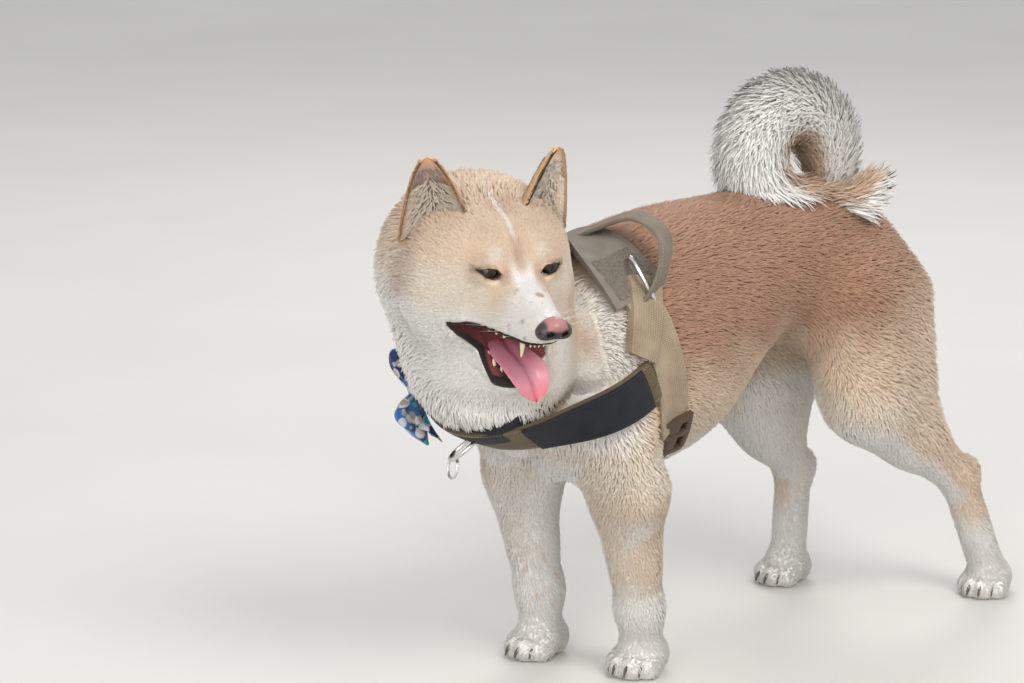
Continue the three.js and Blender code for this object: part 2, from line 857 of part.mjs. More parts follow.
const tongue = () =>
  tubeOf({
    path: headCurve(TONGUE_POINTS),
    count: 9,
    sides: 10,
    across: (t) => 15 + 5 * Math.sin(Math.PI * t) - 10 * t ** 6,
    through: (t) => 4.2 - 1.6 * t,
    wide: HEAD_LEFT,
  });
const NOSE_MIDDLE = [68, 0, -24];
const noseField = (p) => {
  const [f, l, u] = toHead(p);
  const q = [f - NOSE_MIDDLE[0], Math.abs(l), u - NOSE_MIDDLE[2]];
  const pad = blend(
    distanceTo(ball([2, 0, 1], [11, 13, 10]), q),
    distanceTo(ball([2, 9, -2], [8, 7.5, 7]), q),
    4,
  );
  return carve(pad, distanceTo(ball([11, 7, -2], [5, 3, 2.6]), q), 2);
};
const nose = () => {
  const middle = fromHead(NOSE_MIDDLE);
  const reach = { lo: add(middle, [-22, -22, -18]), hi: add(middle, [22, 22, 18]) };
  return meshIn(noseField, reach, CELL.nose, LIMIT.nose);
};
const EAR = { root: [-64, 49, 18], tip: [-64, 62, 91], half: 32, bulge: 17, rim: 4.5 };
function ear(s) {
  const root = fromHead(mirrored(EAR.root, s));
  const axis = sub(fromHead(mirrored(EAR.tip, s)), root);
  const ahead = unit(
    add(times(HEAD_FORWARD, 0.93), add(times(HEAD_LEFT, 0.36 * s), times(HEAD_UP, -0.05))),
  );
  const face = squareTo(ahead, unit(axis));
  const side = cross(unit(axis), face);
  const arc = radians(75);
  const rings = steps(6).map((t) => {
    const half = EAR.half * (1 - t) ** 0.62 + 3;
    const bulge = EAR.bulge * (1 - t) ** 0.6 + 1.5;
    const rim = Math.min(EAR.rim, half * 0.9);
    const at = (k, front) => {
      const angle = arc * k;
      const wide = (half - (front ? rim * 0.5 : 0)) * (Math.sin(angle) / Math.sin(arc));
      const deep = -bulge * ((Math.cos(angle) - Math.cos(arc)) / (1 - Math.cos(arc)));
      return add(
        add(root, times(axis, t)),
        add(times(side, wide), times(face, deep + (front ? rim : 0))),
      );
    };
    const row = [-1, -0.5, 0, 0.5, 1];
    return [...row.map((k) => at(k, false)), ...row.reverse().map((k) => at(k, true))];
  });
  return skinOf(rings);
}

// Tail: a spiral carried over the back, up behind, over the top and round to the left side
const TAIL = {
  middle: [-8, 102, 434],
  back: unit([0.34, 0.94, 0]),
  side: unit([0.94, -0.34, 0]),
  loop: 45,
  root: 28,
  brush: 40,
  count: 10,
  sides: 14,
};
function tailAt(t) {
  const angle = radians(-64 + 400 * t);
  const leaving = 34 * (1 - Math.min(1, t * 4)) ** 2;
  const loosening = 24 * (Math.max(0, t - 0.74) / 0.26) ** 2;
  const loop = TAIL.loop + leaving + loosening;
  const along = add(
    times(TAIL.back, loop * Math.cos(angle)),
    times([0, 0, 1], loop * Math.sin(angle)),
  );
  return add(add(TAIL.middle, along), times(TAIL.side, -22 + 62 * t));
}
function tailRadius(t) {
  const filling = (TAIL.brush - TAIL.root) * Math.sin(Math.PI * clamp(t * 1.15, 0, 0.5));
  const tapering = 18 * Math.max(0, (t - 0.7) / 0.3) ** 2;
  return TAIL.root + filling - tapering;
}
const TAIL_LENGTHS = [
  [0, 0.36],
  [0.33, 0.7],
  [0.67, 1],
];
function tailLength([from, to]) {
  const at = (t) => from + (to - from) * t;
  const rounding = (t) => (to === 1 ? Math.sqrt(Math.max(0.02, 1 - t ** 6)) : 1);
  const step = 0.004;
  return tubeOf({
    path: {
      at: (t) => tailAt(at(t)),
      way: (t) => sub(tailAt(at(t) + step), tailAt(at(t) - step)),
    },
    count: TAIL.count,
    sides: TAIL.sides,
    across: (t) => tailRadius(at(t)) * rounding(t),
    through: (t) => tailRadius(at(t)) * rounding(t),
    wide: TAIL.side,
  });
}

// Flesh: the coarse body is parted by thin flat cuts, and each part has its own fineness
const CELL = { trunk: 12, neck: 10, head: 5, jaw: 4.5, nose: 3.4, leg: 8, paw: 5 };
const LIMIT = {
  trunk: 900,
  neck: 340,
  head: 1700,
  jaw: 380,
  nose: 190,
  leg: 340,
  paw: 200,
};
const NECK_CUT = { at: [0, -222, 300], way: unit([0, -0.92, 0.38]) };
const HEAD_PLANE = { at: fromHead([HEAD_CUT, 0, 0]), way: HEAD_FORWARD };
const LEG_CUTS = {
  foreleg: { at: [28, -190, 178], way: unit([-0.5, 0.05, 0.86]), front: -280, back: -128 },
  hindleg: { at: [30, 120, 262], way: unit([-0.55, -0.1, 0.83]), front: 52, back: 330 },
};
const sideOf = (p, cut) => dot(sub(p, cut.at), cut.way);
const keep = (solid, cut, side) =>
  solid.intersect(halfSpace(add(cut.at, times(cut.way, (side * GAP) / 2)), times(cut.way, side)));
const corners = (lo, hi) => steps(7).map((_, k) => corner(k).map((c, a) => (c ? hi[a] : lo[a])));
const around = (points, margin) => ({
  lo: [0, 1, 2].map((k) => Math.min(...points.map((p) => p[k])) - margin),
  hi: [0, 1, 2].map((k) => Math.max(...points.map((p) => p[k])) + margin),
});
function meshIn(field, { lo, hi }, cell, target) {
  for (const grow of [1, 1.05, 1.1, 0.95, 1.15]) {
    const { points, faces } = surfaceOf(field, lo, hi, cell * grow);
    if (!isClosed(faces)) continue;
    const light = lightened(points, faces, target);
    if (isClosed(light.faces)) return largest(solidOf(geometryOf(light.points, light.faces)));
  }
  throw new Error("the surface pinches itself at every fineness tried");
}
const HEAD_BOX = around(corners([-112, -98, -125], [82, 98, 78]).map(fromHead), 4);

// The block of space that one leg owns, as a solid to cut with
function legBlock(kind, s, grow) {
  const cut = LEG_CUTS[kind];
  const tilted = halfSpace(
    add(sided(cut.at, s), times(sided(cut.way, s), grow - GAP / 2)),
    times(sided(cut.way, s), -1),
  );
  const box = new THREE.BoxGeometry(200, cut.back - cut.front + 2 * grow - GAP, 400);
  box.translate(s * (100 + GAP / 2 - grow), (cut.back + cut.front) / 2, 160);
  return tilted.intersect(solidOf(box));
}
function leg(kind, name, s) {
  const shapes = LEG_SHAPES[name];
  const paw = PAWS[name];
  const reach = around(
    shapes.flatMap((shape) => (shape.at ? [shape.at] : [shape.from, shape.to])),
    62,
  );
  const field = (p) => Math.max(bodyField(p), s > 0 ? -p[0] - 4 : p[0] - 4);
  const upper = meshIn(field, { lo: [reach.lo[0], reach.lo[1], 14], hi: reach.hi }, CELL.leg, LIMIT.leg);
  const pawBox = around([paw.foot], 44);
  const pads = pawShapes(paw.foot, paw.way, paw.scale);
  const lower = meshIn((p) => blendAll(pads, p), pawBox, CELL.paw, LIMIT.paw);
  const floor = { at: [0, 0, -GAP / 2], way: [0, 0, 1] };
  return keep(upper.intersect(legBlock(kind, s, 0)).add(lower), floor, 1);
}
const tail = () => TAIL_LENGTHS.map(tailLength).reduce((a, b) => a.add(b));
const jaw = () => {
  let solid = meshIn(jawField, HEAD_BOX, CELL.jaw, LIMIT.jaw).add(lip(LIP_LINES.lower, 1.6));
  for (const s of Object.values(SIDES)) {
    const [at, length, radius] = LOWER_TEETH.canine;
    solid = solid.add(tooth(mirrored(at, s), length, radius, 1));
    for (const t of steps(PREMOLARS.count - 1)) {
      const spot = mix(PREMOLARS.from, PREMOLARS.to, t);
      solid = solid.add(tooth(mirrored(spot, s), PREMOLARS.length, PREMOLARS.radius, 1));
    }
  }
  return solid;
};
const head = () => {
  const field = (p) => Math.max(fleshField(p), -sideOf(p, HEAD_PLANE) - 12);
  let solid = meshIn(field, HEAD_BOX, CELL.head, LIMIT.head);
  solid = keep(solid, HEAD_PLANE, 1).add(lip(LIP_LINES.upper, 1.8));
  for (const s of Object.values(SIDES)) {
    for (const points of Object.values(LID_LINES)) solid = solid.add(lid(points, s));
    const [at, length, radius] = UPPER_TEETH.canine;
    solid = solid.add(tooth(mirrored(at, s), length, radius, -1));
  }
  return solid;
};
const BODY_BOX = { lo: [-150, -420, 120], hi: [150, 260, 450] };
const trunk = () => meshIn(bodyField, BODY_BOX, CELL.trunk, LIMIT.trunk);
const torso = () => {
  let solid = keep(trunk(), NECK_CUT, -1);
  for (const kind of Object.keys(LEG_CUTS))
    for (const s of Object.values(SIDES)) solid = solid.subtract(legBlock(kind, s, GAP));
  return solid;
};
const neck = () => {
  const box = { lo: [-150, -420, 180], hi: [150, -180, 500] };
  const solid = keep(meshIn(fleshField, box, CELL.neck, LIMIT.neck), NECK_CUT, 1);
  return keep(solid, HEAD_PLANE, -1);
};

// Every node in order: each is cut clear of all those before it
const RECIPES = {
  patch_left: () => patch(1),
  patch_right: () => patch(-1),
  buckle_left: () => buckle(1),
  buckle_right: () => buckle(-1),
  saddle_ring: saddleRing,
  handle,
  chest_strap: chestStrap,
  shoulder_strap_left: () => shoulderStrap(1),
  shoulder_strap_right: () => shoulderStrap(-1),
  side_strap_left: () => sideStrap(1),
  side_strap_right: () => sideStrap(-1),
  saddle,
  girth_strap: girth,
  collar_ring: collarRing,
  bow_knot: bowKnot,
  bow_lobe_upper: () => bowLobe(-1, 4, 22, 36, 6),
  bow_lobe_lower: () => bowLobe(1, 4, 22, 36, -4),
  collar,
  eye_left: () => eye(1),
  eye_right: () => eye(-1),
  nose,
  tongue,
  lower_jaw: jaw,
  head,
  ear_left: () => ear(1),
  ear_right: () => ear(-1),
  foreleg_left: () => leg("foreleg", "foreleg_left", 1),
  foreleg_right: () => leg("foreleg", "foreleg_right", -1),
  hindleg_left: () => leg("hindleg", "hindleg_left", 1),
  hindleg_right: () => leg("hindleg", "hindleg_right", -1),
  neck,
  torso,
  tail,
};
const COLOURS = {
  patch: "#15171c",
  buckle: "#5a4634",
  saddle_ring: "#b9b8b0",
  collar_ring: "#9a9a94",
  handle: "#8d8069",
  chest_strap: "#7d6a4c",
  shoulder_strap: "#a08d70",
  side_strap: "#94805f",
  saddle: "#7c7062",
  girth_strap: "#5d4a33",
  bow: "#3f6fa8",
  collar: "#16161a",
  eye: "#1d1310",
  nose: "#6d4444",
  tongue: "#c9788c",
  lower_jaw: "#d8cbb8",
  head: "#e3cba9",
  ear: "#cf9a68",
  foreleg: "#e6d3b8",
  hindleg: "#e4cdae",
  neck: "#e2c6a0",
  torso: "#cf9f7c",
  tail: "#f0ebe4",
};
const ROUGHNESS = { saddle_ring: 0.3, collar_ring: 0.3, eye: 0.1, nose: 0.4, tongue: 0.4 };
const METAL = ["saddle_ring", "collar_ring"];
const lookup = (table, name) =>
  Object.keys(table).find((key) => name === key || name.startsWith(`${key}_`));
function neighboursOf(solid) {
  const a = solid.boundingBox();
  return [...made.values()].filter((before) => {
    const b = before.boundingBox();
    return [0, 1, 2].every((k) => a.min[k] < b.max[k] + 1 && b.min[k] < a.max[k] + 1);
  });
}
function clearOfOthers(solid, clearance) {
  let rest = solid;
  for (const before of neighboursOf(solid)) {
    if (rest.intersect(swollen(before, NEAR)).volume() < 1e-6) continue;
    rest = rest.subtract(swollen(before, clearance));
    if (rest.intersect(before).volume() > 1e-4) rest = rest.subtract(before);
  }
  const sound = settled(largest(rest));
  const meets = (form) => neighboursOf(form).some((b) => form.intersect(b).volume() > OVERLAP);
  if (!sound || meets(sound)) return null;
  const plain = withoutSplits(sound);
  return plain && !meets(plain) ? plain : sound;
}
// Cutting leaves points along straight edges and inside flat faces: these are folded away
function withoutSplits(solid) {
  const mesh = solid.getMesh();
  const points = steps(mesh.numVert - 1).map((_, i) => [
    ...mesh.vertProperties.slice(i * mesh.numProp, i * mesh.numProp + 3),
  ]);
  const faces = steps(mesh.numTri - 1).map((_, i) => [...mesh.triVerts.slice(3 * i, 3 * i + 3)]);
  const light = lightened(points, faces, 0, SPLIT_COST);
  return isClosed(light.faces) ? settled(solidOf(geometryOf(light.points, light.faces))) : null;
}
for (const [name, recipe] of Object.entries(RECIPES)) {
  const whole = recipe();
  const solid = CLEARANCES.reduce((found, by) => found ?? clearOfOthers(whole, by), null);
  if (!solid) throw new Error(`${name} has no sound shape clear of the others`);
  made.set(name, solid);
}

// The origin is the middle of the box that holds everything, at the height of the soles
const boxes = [...made.values()].map((solid) => solid.boundingBox());
const low = [0, 1, 2].map((k) => Math.min(...boxes.map((box) => box.min[k])));
const high = [0, 1, 2].map((k) => Math.max(...boxes.map((box) => box.max[k])));
const group = new THREE.Group();
group.position.set(-(low[0] + high[0]) / 2, -(low[1] + high[1]) / 2, -low[2]);
for (const [name, solid] of made) {
  const mesh = solid.getMesh();
  const geometry = new THREE.BufferGeometry()
    .setAttribute("position", new THREE.BufferAttribute(new Float32Array(mesh.vertProperties), 3))
    .setIndex([...mesh.triVerts]);
  const material = new THREE.MeshStandardMaterial({
    color: COLOURS[lookup(COLOURS, name)],
    roughness: ROUGHNESS[lookup(ROUGHNESS, name)] ?? 0.9,
    metalness: METAL.includes(name) ? 1 : 0,
  });
  const node = new THREE.Mesh(geometry, material);
  node.name = name;
  group.add(node);
}
export default group;
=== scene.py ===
"""A shiba inu standing in a walking harness, a collar and a bow, dressed over its solid model.

Sizes are millimetres in the animal's own frame: it faces -Y, its left is +X, +Z is up, and its soles
are at z = 0. placed() turns them into the model's frame, in metres.
"""

import bpy
import numpy as np
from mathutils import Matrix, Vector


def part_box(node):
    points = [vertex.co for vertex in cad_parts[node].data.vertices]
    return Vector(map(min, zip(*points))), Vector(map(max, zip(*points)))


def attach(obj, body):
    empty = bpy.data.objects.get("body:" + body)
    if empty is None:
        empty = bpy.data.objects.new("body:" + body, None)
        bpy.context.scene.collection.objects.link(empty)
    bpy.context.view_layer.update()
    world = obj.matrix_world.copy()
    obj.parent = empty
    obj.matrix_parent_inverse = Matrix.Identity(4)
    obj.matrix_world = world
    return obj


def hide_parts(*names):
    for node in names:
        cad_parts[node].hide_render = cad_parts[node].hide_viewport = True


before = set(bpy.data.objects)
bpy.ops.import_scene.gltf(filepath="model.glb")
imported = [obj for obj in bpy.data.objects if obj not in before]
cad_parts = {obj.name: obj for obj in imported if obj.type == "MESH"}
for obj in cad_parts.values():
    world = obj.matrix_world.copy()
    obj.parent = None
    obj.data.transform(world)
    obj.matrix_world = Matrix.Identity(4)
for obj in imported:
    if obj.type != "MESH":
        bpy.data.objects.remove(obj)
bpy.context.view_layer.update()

import openvdb
from mathutils import Vector

RANDOM = np.random.default_rng(20)
SIDES = {"left": 1, "right": -1}

# Fineness of the skins and number of tufts
BODY_CELL = 2.7
HEAD_CELL = 1.25
NOSE_CELL = 0.8
COVER = 2.3
LEG_COVER = 1.1
PIECE_LIMIT = 190000

# Lengths and lift of the coat where they aren't worked out from the place
TAIL_HAIR = 34
LID_HAIR = 3.2
HEAD_LIFT = 0.36

# The head's own frame: forward, left and up, with its origin midway between the eyes
HEAD_TURN = np.radians(71)
HEAD_NOD = np.radians(8)
EYE_MIDDLE = np.array([84.0, -348.0, 395.0])
EYE_SPREAD = 28
EYE_LEVEL = 6
EYE_RADIUS = 10.5
EYE_SHOWS = 1.4
LID = 1.1
HEAD_FORWARD = np.array([
    np.sin(HEAD_TURN) * np.cos(HEAD_NOD),
    -np.cos(HEAD_TURN) * np.cos(HEAD_NOD),
    -np.sin(HEAD_NOD),
])
HEAD_LEFT = np.array([np.cos(HEAD_TURN), np.sin(HEAD_TURN), 0.0])
HEAD_UP = np.cross(HEAD_FORWARD, HEAD_LEFT)
HEAD_AXES = np.array([HEAD_FORWARD, HEAD_LEFT, HEAD_UP])
HEAD_SKIN = (-66, 250, -223)
BODY_SKIN = (-54, 262, -235)
SKINS_MEET = (-60, 256, -229)

# Camera at the photograph's viewing angle
CAMERA_PLACE = np.array([2353.8, -2626.1, 1021.9])
CAMERA_TARGET = np.array([-136.2, -136.2, 273.4])
CAMERA_LENS = 136.13

# Colours of the coat, as linear red, green and blue
WHITE = np.array([0.90, 0.87, 0.82])
CREAM = np.array([0.77, 0.59, 0.43])
PALE = np.array([0.83, 0.73, 0.60])
TAN = np.array([0.43, 0.235, 0.14])
ROSY = np.array([0.47, 0.25, 0.165])
BROWN = np.array([0.27, 0.145, 0.085])
ORANGE = np.array([0.66, 0.34, 0.14])
GREY = np.array([0.36, 0.30, 0.27])
BLACK = np.array([0.012, 0.009, 0.008])
# The mouth's red lining, darkened with painted shade of the mouth's inside
MOUTH_RED_SHADED = np.array([0.16, 0.035, 0.035])
FRECKLE = np.array([0.16, 0.17, 0.20])
PILE_DARK = np.array([0.27, 0.21, 0.15])
PILE_PALE = np.array([0.46, 0.41, 0.34])


# Vectors
def unit(v):
    v = np.asarray(v, float)
    return v / np.maximum(np.linalg.norm(v, axis=-1, keepdims=True), 1e-9)


def dot(a, b):
    return np.einsum("...k,...k->...", a, b)


def ramp(x, low, high):
    """0 at low, 1 at high, smooth between; low may be the larger."""
    t = np.clip((np.asarray(x, float) - low) / (high - low), 0, 1)
    return t * t * (3 - 2 * t)


def lerp(a, b, t):
    t = np.asarray(t, float)[..., None]
    return a * (1 - t) + b * t


def lerp_value(a, b, t):
    return a * (1 - t) + b * t


def layered(value, *layers):
    """A colour or a way for each point, with others laid over it in turn, each by its share."""
    for layer, share in layers:
        value = lerp(value, layer, share)
    return value


def taper(start, power, end):
    """A radius that runs out to its end, as a function of 0 to 1."""
    return lambda t: start * (1 - t) ** power + end


def to_head(p):
    return (p - EYE_MIDDLE) @ HEAD_AXES.T


def from_head(q):
    return EYE_MIDDLE + np.asarray(q, float) @ HEAD_AXES


def mirrored(q, s):
    return np.asarray(q, float) * np.array([1, s, 1])


def ripple(p, size, seed=0):
    """A smooth wandering value from -1 to 1 over space, with features of about this size."""
    total = np.zeros(len(p))
    for k in range(4):
        angle = seed * 1.7 + k * 2.4
        way = np.array([np.cos(angle), np.sin(angle * 1.3), np.cos(angle * 0.7 + 1)])
        total += np.sin(p @ way * (6.28 / size) * (0.7 + 0.22 * k) + angle * 3)
    return total / 4


# Distance fields: a tapered limb and an ellipsoid, joined by a soft blend
def limb(start, end, r0, r1, soft=20):
    return "limb", np.array(start, float), np.array(end, float), r0, r1, soft


def ball(at, radii, soft=20):
    return "ball", np.array(at, float), np.array(radii, float), soft


def distance_to(shape, p):
    if shape[0] == "ball":
        q = p - shape[1]
        near = np.linalg.norm(q / shape[2], axis=-1)
        slope = np.linalg.norm(q / shape[2] ** 2, axis=-1)
        return near * (near - 1) / np.maximum(slope, 1e-6)
    _, start, end, r0, r1, _ = shape
    axis = end - start
    q = p - start
    t = np.clip(q @ axis / (axis @ axis), 0, 1)
    return np.linalg.norm(q - t[..., None] * axis, axis=-1) - (r0 + (r1 - r0) * t)


def blend(a, b, soft):
    h = np.maximum(soft - np.abs(a - b), 0) / soft
    return np.minimum(a, b) - h * h * soft / 4


def carve(a, b, soft):
    return -blend(-a, b, soft)


def blend_all(shapes, p):
    total = np.full(len(p), 1e3)
    for shape in shapes:
        total = blend(total, distance_to(shape, p), shape[-1])
    return total


def near_box(field, p, low, high, margin=40):
    """The field inside a box and the distance to the box outside it."""
    low, high = np.asarray(low) - margin, np.asarray(high) + margin
    outside = np.linalg.norm(np.maximum(0, np.maximum(low - p, p - high)), axis=-1)
    value = outside + margin
    inside = outside == 0
    if inside.any():
        value[inside] = field(p[inside])
    return value


# Shapes of the animal, coat included
TRUNK = [
    ball([0, -116, 290], [88, 139, 110], 30),
    ball([0, -195, 262], [80, 80, 84], 30),
    ball([0, -95, 350], [46, 80, 50], 40),
    ball([0, 45, 342], [73, 135, 72], 60),
    ball([0, 145, 320], [74, 88, 72], 50),
]
NECK = [
    limb([0, -150, 284], [-4, -282, 314], 86, 80, 45),
    limb([-4, -286, 318], [-16, -306, 384], 84, 86, 30),
]
FORE = {
    "left": ([50, -215, 268], [64, -192, 178], [57, -167, 62], [54, -159, 16]),
    "right": ([-50, -220, 262], [-60, -200, 172], [-53, -184, 62], [-50, -184, 16]),
}
HIND = {
    "left": ([48, 132, 300], [74, 118, 218], [84, 178, 172], [102, 231, 122], [111, 273, 18]),
    "right": ([-48, 132, 300], [-60, 108, 212], [-60, 140, 160], [-58, 176, 112], [-56, 166, 18]),
}
SKULL = [
    ball([-62, 0, 4], [62, 58, 48], 16),
    ball([-24, 19, 6], [25, 22, 21], 18),
    ball([-56, 42, -26], [48, 42, 46], 30),
    ball([-46, 0, -34], [42, 40, 30], 20),
    limb([-6, 0, -24], [50, 0, -27], 32, 18, 16),
    limb([-8, 19, -36], [44, 9, -36], 17, 11, 10),
]
JAW = [
    limb([-52, 26, -56], [-2, 8, -93], 17, 10, 12),
    ball([2, 0, -95], [12, 13, 9], 10),
    limb([-52, 0, -70], [-8, 0, -97], 20, 9, 14),
]
MOUTH_FLOOR = limb([-40, 0, -50], [6, 0, -80], 19, 11, 6)
MOUTH_CORNER = -37
MOUTH_LEVEL = -43
MOUTH_DEPTH = 49
MOUTH_SIDES = (-66, 33)
JAW_COAT = 1.2
SOLE_LEVEL = 0.4
NOSE_PLACE = [68, 0, -24]
NOSTRIL = [11, 6.6, -2.4]
LID_REACH = 10.5
BROW_FURROW = limb([-34, 0, 56], [4, 0, 16], 3, 2)
LIP_GROOVE = limb([66, 0, -36], [58, 0, -43], 1.3, 1.3)
RUFF_PATCH = limb([-12, 66, -30], [-30, 84, -74], 0, 0)
LID_LINES = {
    "upper": ([-10.5, -5, 3, 10], [-4, 2.0, 3.6, 1.6]),
    "lower": ([-10.5, -4, 4, 10], [-4, -4.8, -3.4, 1.6]),
}
PAWS = {
    "fore_left": (FORE["left"][-1], 8, 1.0),
    "fore_right": (FORE["right"][-1], -4, 1.0),
    "hind_left": (HIND["left"][-1], 12, 0.94),
    "hind_right": (HIND["right"][-1], -6, 0.94),
}
TOES = [(-16, 16, 11), (-6, 24, 11.5), (6, 24, 11.5), (16, 16, 11)]
TAIL_MIDDLE = np.array([-8.0, 102.0, 434.0])
TAIL_BACK = unit([0.34, 0.94, 0])
TAIL_SIDE = unit([0.94, -0.34, 0])
UP = np.array([0.0, 0.0, 1.0])
TAIL_STATIONS = np.linspace(0, 1, 45)


def between(a, b, t):
    return np.array(a, float) * (1 - t) + np.array(b, float) * t


def fore_shapes(joints):
    shoulder, elbow, wrist, foot = (np.array(j, float) for j in joints)
    return [
        limb(shoulder, elbow, 46, 36, 30),
        limb(elbow, wrist, 34, 21, 20),
        limb(elbow + [0, 26, 4], between(elbow, wrist, 0.4), 12, 14, 16),
        limb(wrist, foot, 22, 19, 14),
    ]


def hind_shapes(joints):
    hip, knee, calf, hock, foot = (np.array(j, float) for j in joints)
    return [
        limb(hip, between(knee, calf, 0.2), 62, 42, 40),
        limb(hip + [0, 47, -6], calf, 49, 31, 30),
        limb(knee, hock, 38, 19, 24),
        limb(hock, foot, 18, 18, 12),
        ball(hock + [0, 12, 4], [11, 15, 14], 12),
    ]


LEGS = {f"fore_{side}": fore_shapes(joints) for side, joints in FORE.items()}
LEGS.update({f"hind_{side}": hind_shapes(joints) for side, joints in HIND.items()})


def paw_places(name):
    """A function that gives a point of the paw from its place aside, ahead and up."""
    (x, y, _), way, scale = PAWS[name]
    way = np.radians(way)
    ahead = np.array([np.sin(way), -np.cos(way)])

    def spot(side, reach, z):
        across = np.array([-ahead[1], ahead[0]]) * side
        flat = np.array([x, y]) + scale * (ahead * reach + across)
        return np.array([flat[0], flat[1], z * scale])

    return spot, scale


def paw_field(p, name):
    spot, scale = paw_places(name)
    shapes = [limb(spot(0, -8, 16), spot(0, 6, 20), 18 * scale, 18 * scale, 10)]
    for side, reach, r in TOES:
        r = (r - 0.6) * scale
        shapes.append(limb(spot(side * 0.8, 2, 18), spot(side, reach, 9), r, r, 3))
    return blend_all(shapes, p)


def tail_at(t):
    t = np.asarray(t, float)
    angle = np.radians(-64 + 400 * t)
    leaving = 34 * (1 - np.minimum(1, 4 * t)) ** 2
    loosening = 24 * (np.maximum(0, t - 0.74) / 0.26) ** 2
    loop = 45 + leaving + loosening
    along = (loop * np.cos(angle))[..., None] * TAIL_BACK + (loop * np.sin(angle))[..., None] * UP
    return TAIL_MIDDLE + along + (62 * t - 22)[..., None] * TAIL_SIDE


def tail_radius(t):
    filling = 12 * np.sin(np.pi * np.clip(1.15 * t, 0, 0.5))
    tapering = 18 * np.maximum(0, (t - 0.7) / 0.3) ** 2
    return 28 + filling - tapering


TAIL_PATH = tail_at(TAIL_STATIONS)
TAIL_COAT = 17


def tail_core(p):
    radii = np.maximum(tail_radius(TAIL_STATIONS) - TAIL_COAT, 4)
    total = np.full(len(p), 1e3)
    for k in range(len(TAIL_PATH) - 1):
        piece = limb(TAIL_PATH[k], TAIL_PATH[k + 1], radii[k], radii[k + 1])
        total = np.minimum(total, distance_to(piece, p))
    return total


def tail_field(p):
    return near_box(tail_core, p, TAIL_PATH.min(0), TAIL_PATH.max(0))


def trunk_field(p):
    return blend_all(TRUNK + NECK, p)


def leg_field(p, name):
    ends = np.array([s[1] for s in LEGS[name]] + [s[2] for s in LEGS[name] if s[0] == "limb"])
    return near_box(lambda q: blend_all(LEGS[name], q), p, ends.min(0) - 60, ends.max(0) + 60)


def body_field(p):
    total = trunk_field(p)
    for name in LEGS:
        total = blend(total, leg_field(p, name), 26)
    return total


def halved(p):
    q = to_head(p)
    q[:, 1] = np.abs(q[:, 1])
    return q


def head_field(p):
    return blend_all(SKULL, halved(p))


def mouth_field(p):
    """Negative in the open mouth, which starts further forward out on the cheeks."""
    q = to_head(p)
    along = q[:, 0] - MOUTH_CORNER - 0.55 * np.maximum(np.abs(q[:, 1]) - 20, 0)
    floor = MOUTH_LEVEL - np.minimum(MOUTH_DEPTH, along * 1.35 + 2)
    sides = np.maximum(MOUTH_SIDES[0] - q[:, 1], q[:, 1] - MOUTH_SIDES[1])
    return np.maximum.reduce([q[:, 2] - MOUTH_LEVEL, (floor - q[:, 2]) * 0.7, -along, q[:, 0] - 75, sides])


def jaw_field(p):
    q = halved(p)
    return carve(blend_all(JAW, q), distance_to(MOUTH_FLOOR, to_head(p)), 5)


def whole_field(p):
    return blend(body_field(p), head_field(p), 34)


def flesh_field(p):
    return carve(whole_field(p), mouth_field(p), 4)


def head_edge(p, ahead, low, back):
    """Negative in the head's share of space: ahead of a plane, over a level and before the shoulders."""
    return np.maximum.reduce([ahead - to_head(p)[:, 0], low - p[:, 2], p[:, 1] - back])


def neck_share(p):
    return ramp(p[:, 1], -185, -228) * ramp(p[:, 2], 205, 245)


def face_share(p, q, low, high):
    return ramp(q[:, 0], low, high) * ramp(q[:, 2], -130, -106) * ramp(p[:, 1], -205, -240)


def coat_depth(p):
    """How far the skin lies under the coat's surface, with the left cheek and ruff drawn in."""
    _, y, z = p.T
    q = to_head(p)
    ahead, left, up = q.T
    trunk = 5 + 2.5 * ramp(y, 60, 170)
    legs = 2.4 + 1.6 * ramp(y, 120, 220) * ramp(z, 120, 200)
    depth = lerp_value(legs, trunk, ramp(z, 150, 235))
    depth = lerp_value(depth, 9, neck_share(p))
    face = 2.2 + 10.5 * ramp(up, 28, 56) * ramp(ahead, -10, -40)
    depth = lerp_value(depth, face, face_share(p, q, -88, -34))
    return depth + 14 * ramp(left, 48, 80) * ramp(up, 34, -10) * ramp(y, -205, -235)


def gradient(field, p, step=0.6):
    slopes = []
    for axis in np.eye(3):
        slopes.append(field(p + axis * step) - field(p - axis * step))
    return unit(np.stack(slopes, -1))


def reach_to(field, start, way, level, far=240.0):
    """The points where rays from start first rise past this level of the field."""
    low = np.zeros(len(start))
    high = np.full(len(start), far)
    for _ in range(20):
        middle = (low + high) / 2
        inside = field(start + way * middle[:, None]) < level
        low = np.where(inside, middle, low)
        high = np.where(inside, high, middle)
    return start + way * ((low + high) / 2)[:, None]


def on_face(l, u, lift):
    """Places on the face, found by rays that run forward out of the skull."""
    l, u = np.atleast_1d(l), np.atleast_1d(u)
    start = from_head(np.stack([np.full(len(l), -45.0), l, u], -1))
    way = np.tile(HEAD_FORWARD, (len(l), 1))
    return reach_to(head_field, start, way, lift, 120)


EYES = {}
for side, s in SIDES.items():
    front = on_face(np.array([s * EYE_SPREAD]), np.array([EYE_LEVEL]), EYE_SHOWS)[0]
    EYES[side] = front - HEAD_FORWARD * EYE_RADIUS


def lip_field(p):
    """A bead along the edge where the mouth opens through the face, thicker below."""
    ahead, left, up = to_head(p).T
    face = np.minimum(whole_field(p) + coat_depth(p), blend_all(JAW, halved(p)) + JAW_COAT)
    bead = np.hypot(face + 0.6, mouth_field(p)) - (1.2 + 1.4 * ramp(up, -46, -56))
    return np.where((ahead < 62) & (left < MOUTH_SIDES[1] - 4), bead, 1e3)


def eye_centre(side):
    return to_head(EYES[side][None])[0]


